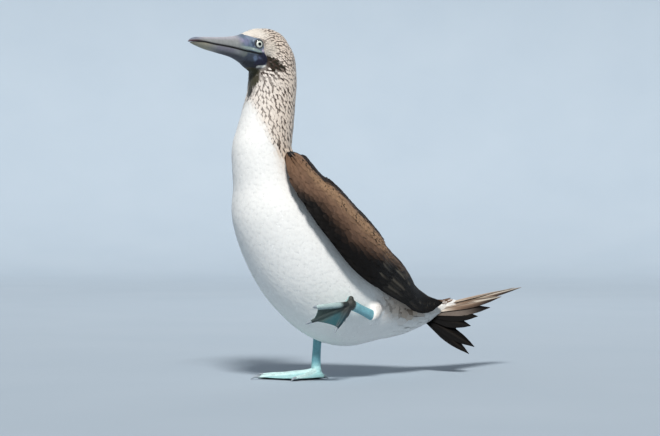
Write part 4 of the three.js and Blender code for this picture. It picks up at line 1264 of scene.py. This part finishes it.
# The bill
def bill_rings(end, upper):
    """Rings of the upper or lower bill: its outline above or below the mouth, closed across."""
    rings = []
    tints = []
    around = 41
    across = 12
    for at in np.linspace(BILL_ROOT, end, 84):
        _, top, bottom = head_section(np.array(at))
        level, half = (top + bottom) / 2, (top - bottom) / 2
        gap = 0.12 if upper else -0.35
        split = math.acos(float(np.clip((mouth_up(np.array(at)) + gap - level) / half, -0.96, 0.96)))
        if upper:
            turn = np.linspace(-split, split, around)
        else:
            turn = np.linspace(split, 2 * math.pi - split, around)
        grow = 0.2 if upper else 0.05
        left, up = head_outline(np.full(around, at), turn, grow * smoothstep(BILL_TIP - at, 0, 12))
        if upper:
            groove = np.exp(-(((np.abs(turn) - 0.62) / 0.14) ** 2))
            fade = smoothstep(at, 40, 50) * (1 - smoothstep(at, 96, 116))
            left = left * (1 - 0.055 * groove * fade)
        else:
            left = left * (1 - 0.05 * smoothstep(np.abs(np.cos(turn)), 1, 0))
        shut = np.linspace(1, -1, across + 2)[1:-1] * left[-1]
        flat = np.full(across, up[-1]) + (0.25 if upper else -0.25)
        ring = np.concatenate([head_point(at, left, up), head_point(at, shut, flat)])
        rings.append(ring)
        tints.append(bill_colour(np.full(len(ring), at), np.concatenate([up, flat]), upper))
    return np.array(rings), np.array(tints)


def bill_colour(at, up, upper):
    """Grey horn, paler along the ridge, with a purple brown tip, painted shade under the lower bill and a
    dark line of painted shade at the mouth.
    """
    colour = BILL_GREY
    _, top, _ = head_section(at)
    gap = np.abs(up - mouth_up(at))
    if upper:
        ridge = smoothstep(up, top * 0.25, top * 0.95)
        colour = mix(colour, srgb(0.68, 0.67, 0.70), ridge * 0.85)
        colour = mix(colour, srgb(0.54, 0.55, 0.54), (1 - ridge) * 0.7)
        tip = smoothstep(at, 106, 122)
        colour = mix(colour, srgb(0.44, 0.47, 0.54), tip * ridge)
        colour = mix(colour, srgb(0.30, 0.20, 0.23), tip * (1 - smoothstep(gap, 1.4, 4.0)))
    else:
        colour = mix(colour, srgb(0.50, 0.48, 0.53), near_line(at, up, [(85, -6), (62, -8)], 4.0) * 0.7)
        colour = mix(colour, srgb(0.60, 0.58, 0.50), smoothstep(at, 84, 108) * 0.9)
        # painted shade: dark blue grey painted along the lower bill's underside, towards its root
        under = smoothstep(mouth_up(at) - up, 5.0, 9.0)
        colour = mix(colour, srgb(0.20, 0.22, 0.27), under * (1 - smoothstep(at, 74, 100)))
    # painted shade: a near black line where the two halves of the bill meet
    reach = 1.9 if upper else 1.3
    edge = (1 - smoothstep(gap, 0.5, reach + 0.4)) * (1 - smoothstep(at, 118, 126) * 0.6)
    colour = mix(colour, srgb(0.11, 0.09, 0.09), edge)
    return mix(colour, face_colour(at, up), 1 - smoothstep(at, 42, 56))


def build_bill():
    """Upper and lower bill, each a closed horn."""
    material = horn_material("bill_horn", 0.42)
    for name, end, upper in (("bill_upper", BILL_TIP, True), ("bill_lower", LOWER_TIP, False)):
        rings, tints = bill_rings(end, upper)
        points, faces = closed_loft(rings)
        obj = mesh_object(name + "_horn", points, faces)
        colours = np.concatenate([tints.reshape(-1, 3), [tints[0, 0], tints[-1, 0]]])
        add_colour(obj, colours)
        obj.data.materials.append(material)
        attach(obj, "root")
        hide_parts(name)


# The eyes
def eye_frame(side):
    """The way an eye looks, its place on the head's side, and the ball's centre."""
    wide = head_section(np.array(EYE["at"]))[0]
    slope = (head_section(np.array(EYE["at"] + 4))[0] - head_section(np.array(EYE["at"] - 4))[0]) / 8
    out = unit(LEFT * side - FORWARD * slope)
    surface = head_point(np.array(EYE["at"]), np.array(side * wide * 0.985), np.array(EYE["up"]))
    depth = math.sqrt(EYE["ball"] ** 2 - EYE["opening"] ** 2) - 0.4
    return out, surface, surface - out * depth


def build_eyes():
    """The eyeballs, each with a pale iris and a dark pupil, and the ring of lids round them."""
    material = eye_material()
    around = 72
    spin = np.linspace(0, 2 * math.pi, around, endpoint=False)
    for name, side in (("eye_left", 1), ("eye_right", -1)):
        out, surface, centre = eye_frame(side)
        first = unit(np.cross(out, UP))
        second = np.cross(first, out)
        angles = np.radians(np.concatenate([np.arange(1.0, 60, 1.1), np.arange(62, 178, 6)]))
        flat = np.cos(spin)[:, None] * first + np.sin(spin)[:, None] * second
        rings = centre + EYE["ball"] * (
            np.cos(angles)[:, None, None] * out + np.sin(angles)[:, None, None] * flat[None]
        )
        points, faces = closed_loft(rings)
        obj = mesh_object(name + "_ball", points, faces)
        lean = np.degrees(np.arccos(np.clip(unit(points - centre) @ out, -1, 1)))
        tint = mix(srgb(0.90, 0.91, 0.86), srgb(0.60, 0.64, 0.62), smoothstep(lean, 28, 38))
        tint = mix(tint, srgb(0.01, 0.01, 0.01), 1 - smoothstep(lean, 18.8, 20))
        tint = mix(tint, srgb(0.10, 0.11, 0.12), smoothstep(lean, 37.5, 40))
        add_colour(obj, tint)
        obj.data.materials.append(material)
        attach(obj, "root")
        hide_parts(name)
        build_lids(name, surface, out, first, second)


def build_lids(name, surface, out, first, second):
    """The ring of bare lids round one eye's opening, a little uneven."""
    round_eye = 96
    round_lid = 12
    turn = np.linspace(0, 2 * math.pi, round_eye, endpoint=False)
    loop = np.cos(turn)[:, None] * first + np.sin(turn)[:, None] * second
    small = np.linspace(0, 2 * math.pi, round_lid, endpoint=False)
    swell = 1 + 0.12 * np.sin(turn * 7 + 1) + 0.08 * np.sin(turn * 17)
    ring = (
        surface
        - out * 0.25
        + loop[:, None] * (EYE["opening"] + 0.75 + 0.75 * np.cos(small)[None, :, None])
        + out * (0.85 * np.sin(small)[None, :, None] * swell[:, None, None])
    )
    corner = np.arange(round_eye * round_lid).reshape(round_eye, round_lid)
    ahead = np.roll(corner, -1, 0)
    grid = np.stack([corner, np.roll(corner, -1, 1), np.roll(ahead, -1, 1), ahead], -1)
    points = ring.reshape(-1, 3)
    lids = mesh_object(name + "_lids", points, turned_out(points, grid.reshape(-1, 4).tolist()))
    add_colour(lids, np.broadcast_to(srgb(0.27, 0.27, 0.28), points.shape))
    lids.data.materials.append(bpy.data.materials["skin"])
    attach(lids, "root")


# The legs and feet
def toe_line(joint, end, dorsal, arch):
    """A toe's middle line, bent at its knuckle."""
    knuckle = joint * 0.55 + end * 0.45 + dorsal * arch
    return curve_points([joint, knuckle, end], 24)[0]


def foot_parts(joint, tips, dorsal, arch):
    """Toes, webs and joint of a foot, its toe lines, and its claws."""
    ways = unit(tips - joint)
    claws_long = np.array([toe[3] for toe in TOES])[:, None]
    ends = tips - ways * claws_long
    lines = [toe_line(joint, end, dorsal, arch) for end in ends]
    parts = []
    claws = []
    for i, (_, _, thick, claw) in enumerate(TOES):
        side = unit(np.cross(ways[i], dorsal))
        radii = [(thick * f, thick * f * 0.9) for f in TOE_SWELL]
        parts.append(tube(lines[i][[0, 6, 12, 18, 23]], radii, 14, side, 40))
        nail = tips[i] - dorsal * claw * 0.15
        nail_root = ends[i] - ways[i] * 3 + dorsal * 0.6
        nail_middle = (nail_root + nail) / 2 + dorsal * claw * 0.14
        claws.append(tube([nail_root, nail_middle, nail], CLAW_RADII, 12, side, 12))
    for a, b in zip(lines[:-1], lines[1:]):
        parts.append(web(a, b, dorsal))
    return parts, lines, claws


def web(line_a, line_b, dorsal):
    """A thin closed skin between two toes, with a hollow margin."""
    along, across = 22, 14
    top = np.empty((along + 1, across + 1, 3))
    for j in range(across + 1):
        v = j / across
        reach = 0.97 - 0.04 * 4 * v * (1 - v)
        t = np.linspace(0.04, reach, along + 1) * 23
        low = np.minimum(t.astype(int), 22)
        part = (t - low)[:, None]
        a = line_a[low] * (1 - part) + line_a[low + 1] * part
        b = line_b[low] * (1 - part) + line_b[low + 1] * part
        top[:, j] = a * (1 - v) + b * v
    sag = -0.5 * np.sin(np.linspace(0, math.pi, across + 1))
    top = top + dorsal * sag[None, :, None]
    half = dorsal * WEB_THICK / 2
    points = np.concatenate([(top + half).reshape(-1, 3), (top - half).reshape(-1, 3)])
    size = (along + 1) * (across + 1)
    grid = np.arange(size).reshape(along + 1, across + 1)
    faces = []
    for i in range(along):
        for j in range(across):
            a, b, c, d = grid[i, j], grid[i, j + 1], grid[i + 1, j + 1], grid[i + 1, j]
            faces.append((a, b, c, d))
            faces.append((a + size, d + size, c + size, b + size))
    rim = list(grid[0, ::-1]) + list(grid[1:, 0]) + list(grid[-1, 1:]) + list(grid[-2:0:-1, -1])
    for a, b in zip(rim, rim[1:] + rim[:1]):
        faces.append((a, b, b + size, a + size))
    return points, turned_out(points, faces)


def foot_ball(joint, radius, scale=(1, 1, 1)):
    """A ball, stretched by scale, that rounds out a joint or heel."""
    turn = np.linspace(0, 2 * math.pi, 24, endpoint=False)
    down = np.linspace(0.12, math.pi - 0.12, 14)
    rings = np.stack([
        np.sin(down)[:, None] * np.cos(turn)[None],
        np.sin(down)[:, None] * np.sin(turn)[None],
        np.cos(down)[:, None] * np.ones_like(turn)[None],
    ], -1)
    return closed_loft(joint + rings * radius * np.array(scale))


def line_distance(points, line):
    """How far each point is from a line of short straight steps."""
    best = np.full(len(points), 1e9)
    for a, b in zip(line[:-1], line[1:]):
        step = b - a
        t = np.clip((points - a) @ step / (step @ step), 0, 1)
        best = np.minimum(best, np.linalg.norm(points - a - t[:, None] * step, axis=1))
    return best


def foot_colours(points, normals, joint, lines, dorsal, ankle_way):
    """Pale turquoise above and up the leg, and below teal, grey green and olive with darker toes and a
    painted highlight along the outer toe.
    """
    _, inner, middle, outer = (line_distance(points, line) for line in lines)
    nearest = np.minimum(np.minimum(inner, middle), outer)
    reach = np.linalg.norm(points - joint, axis=1)
    up_leg = smoothstep((points - joint) @ ankle_way, 2, 14)
    top = mix(srgb(0.66, 0.84, 0.84), srgb(0.78, 0.89, 0.88), 1 - smoothstep(nearest, 3, 6))
    above = mix(top, FOOT_BLUE, up_leg)
    across = inner / np.maximum(inner + outer, 0.1)
    below = mix(FOOT_DEEP, srgb(0.25, 0.31, 0.29), smoothstep(across, 0.42, 0.62))
    below = mix(below, FOOT_OLIVE, 1 - smoothstep(reach, 14, 34))
    below = mix(below, srgb(0.12, 0.16, 0.19), (1 - smoothstep(nearest, 1.5, 5.5)) * 0.7)
    # painted highlight: a pale strip along the outer toe's edge, the lit upper rim painted onto the side
    # below
    strip = (1 - smoothstep(outer, 3.4, 4.6)) * smoothstep(reach, 16, 26)
    below = mix(below, srgb(0.70, 0.78, 0.77), strip)
    under = smoothstep(-(normals @ dorsal), -0.15, 0.4) * smoothstep(10 - (points - joint) @ dorsal, 0, 6)
    under = under * (1 - smoothstep((points - joint) @ ankle_way, 4, 9))
    return mix(above, below, under)


def build_leg(name, joint, tips, dorsal, arch, shin, ankle_way, standing):
    """One leg from the ankle down: tarsus, toes and webs in one skin, and the claws."""
    parts, lines, claws = foot_parts(joint, tips, dorsal, arch)
    parts.append(foot_ball(joint, 7.6))
    if standing:
        parts.append(foot_ball(np.array([0, 0, 5.0]), 8.6, (1, 1.15, 0.8)))
    else:
        parts.append(foot_ball(joint + np.array([-1.0, 1.5, 6.5]), 4.4))
    front, side = TARSUS["front"], TARSUS["side"]
    radii = [(side * f, front * f) for f in (1.12, 1, 0.96, 1, 1.1)]
    parts.append(tube(shin, radii, 20, np.array([1.0, 0, 0]), 24))
    obj = mesh_object("leg_and_foot_" + name, *joined(parts))
    remeshed(obj, FOOT_GRAIN, 4)
    points = mesh_points(obj.data)
    normals = mesh_normals(obj.data)
    if standing:
        points[:, 2] = np.maximum(points[:, 2], 0.0)
        obj.data.vertices.foreach_set("co", (points * MM).ravel())
    add_colour(obj, foot_colours(points, normals, joint, lines, dorsal, ankle_way))
    obj.data.materials.append(bpy.data.materials["foot_scales"])
    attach(obj, "root")
    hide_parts("leg_" + name, "foot_" + name)
    nails = mesh_object("claws_" + name, *joined(claws))
    add_colour(nails, srgb(0.62, 0.66, 0.62))
    nails.data.materials.append(bpy.data.materials["bill_horn"])
    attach(nails, "root")


def build_legs():
    """The standing right leg, its foot flat on the floor, and the raised left one."""
    foot_material()
    forward = np.array([-math.sin(TOE_OUT), -math.cos(TOE_OUT), 0])
    inward = np.array([math.cos(TOE_OUT), -math.sin(TOE_OUT), 0])
    tips = []
    for long, heading, _, _ in TOES:
        turn = math.radians(heading)
        tip = STANDING_JOINT + forward * long * math.cos(turn) + inward * long * math.sin(turn)
        tips.append([tip[0], tip[1], 2.1])
    shin = [(0, 0, 14), (0, 0.5, 30), STANDING_ANKLE + np.array([0, 1, 8.0])]
    build_leg("right", STANDING_JOINT, np.array(tips), UP, -1.5, shin, UP, True)
    _, inner, middle, outer = RAISED_TIPS
    dorsal = unit(np.cross(inner - outer, middle - RAISED_JOINT))
    ankle_way = unit(RAISED_ANKLE - RAISED_JOINT)
    shin = [RAISED_JOINT + ankle_way * 2, (RAISED_JOINT + RAISED_ANKLE) / 2, RAISED_ANKLE + ankle_way * 1]
    build_leg("left", RAISED_JOINT, RAISED_TIPS, dorsal, -2, shin, ankle_way, False)


# The room: pale floor and backdrop, soft light, and the camera
def build_room():
    """A wide bowl: flat floor that curves up to a wall all round, open above."""
    turn = np.linspace(0, math.pi / 2, 14)
    profile = [(1.0, 0.0), (2500.0, 0.0)]
    profile += [(FLOOR_REACH + ROOM_CURVE * math.sin(a), ROOM_CURVE * (1 - math.cos(a))) for a in turn]
    profile.append((FLOOR_REACH + ROOM_CURVE, ROOM_HIGH))
    spin = np.linspace(0, 2 * math.pi, 96, endpoint=False)
    rings = np.array([
        [(reach * math.cos(a), reach * math.sin(a), high) for a in spin] for reach, high in profile
    ])
    floor = mesh_object("floor", rings.reshape(-1, 3), ring_faces(len(profile), 96, caps=False))
    m = Nodes("floor_paint")
    m.set(Roughness=0.9, Specular_IOR_Level=0.2)
    grain = m.noise(3.0, 3.0, 0.5, m.place())
    ramp = m.add("ShaderNodeValToRGB")
    for stop, tint in zip(ramp.color_ramp.elements, FLOOR_TINTS):
        stop.color = (*tint, 1)
    m.link(grain.outputs[0], ramp.inputs[0])
    m.link(ramp.outputs[0], m.shader.inputs["Base Color"])
    floor.data.materials.append(m.material)


def area_light(name, place, target, size, power, colour=(1, 1, 1)):
    data = bpy.data.lights.new(name, "AREA")
    data.shape = "DISK"
    data.size = size
    data.energy = power
    data.color = colour
    light = bpy.data.objects.new(name, data)
    light.location = place
    light.rotation_euler = (Vector(target) - Vector(place)).to_track_quat("-Z", "Y").to_euler()
    bpy.context.scene.collection.objects.link(light)


def build_light():
    """High soft sun from the viewer's side, weak fills, and pale sky light."""
    middle = np.array([0.02, 0.05, 0.22])
    sun = bpy.data.lights.new("sun", "SUN")
    sun.energy = 3.65
    sun.angle = math.radians(12)
    sun.color = (1.0, 0.985, 0.96)
    lamp = bpy.data.objects.new("sun", sun)
    way = unit(TO_CAMERA * 0.69 + IMAGE_RIGHT * 0.04 + UP * 0.72)
    lamp.rotation_euler = Vector(-way).to_track_quat("-Z", "Y").to_euler()
    bpy.context.scene.collection.objects.link(lamp)
    area_light("front_fill", (2.2, -2.4, 0.9), middle, 2.2, 3, (0.92, 0.96, 1.0))
    area_light("back_fill", (-1.8, 1.6, 1.8), middle, 1.6, 6)
    world = bpy.data.worlds.new("room_light")
    world.use_nodes = True
    world.node_tree.nodes["Background"].inputs[0].default_value = (0.86, 0.92, 1.0, 1)
    world.node_tree.nodes["Background"].inputs[1].default_value = 0.3
    bpy.context.scene.world = world
    bpy.context.scene.view_settings.view_transform = "Standard"


def build_camera():
    """The camera, level with the body and far enough away to see little perspective."""
    data = bpy.data.cameras.new("camera")
    data.sensor_width = 36
    data.lens = CAMERA["lens"]
    data.clip_end = 50
    camera = bpy.data.objects.new("camera", data)
    place = TO_CAMERA * CAMERA["away"] + IMAGE_RIGHT * CAMERA["shift"] + UP * CAMERA["high"]
    camera.location = Vector(place * MM)
    way = -TO_CAMERA * math.cos(CAMERA["pitch"]) + UP * math.sin(CAMERA["pitch"])
    camera.rotation_euler = Vector(way).to_track_quat("-Z", "Y").to_euler()
    bpy.context.scene.collection.objects.link(camera)
    bpy.context.scene.camera = camera


build_camera()
build_light()
build_room()
skin = skin_object()
build_coat(skin)
build_bill()
build_eyes()
build_legs()
build_wing(1, "wing_left")
build_wing(-1, "wing_right")
build_tail()
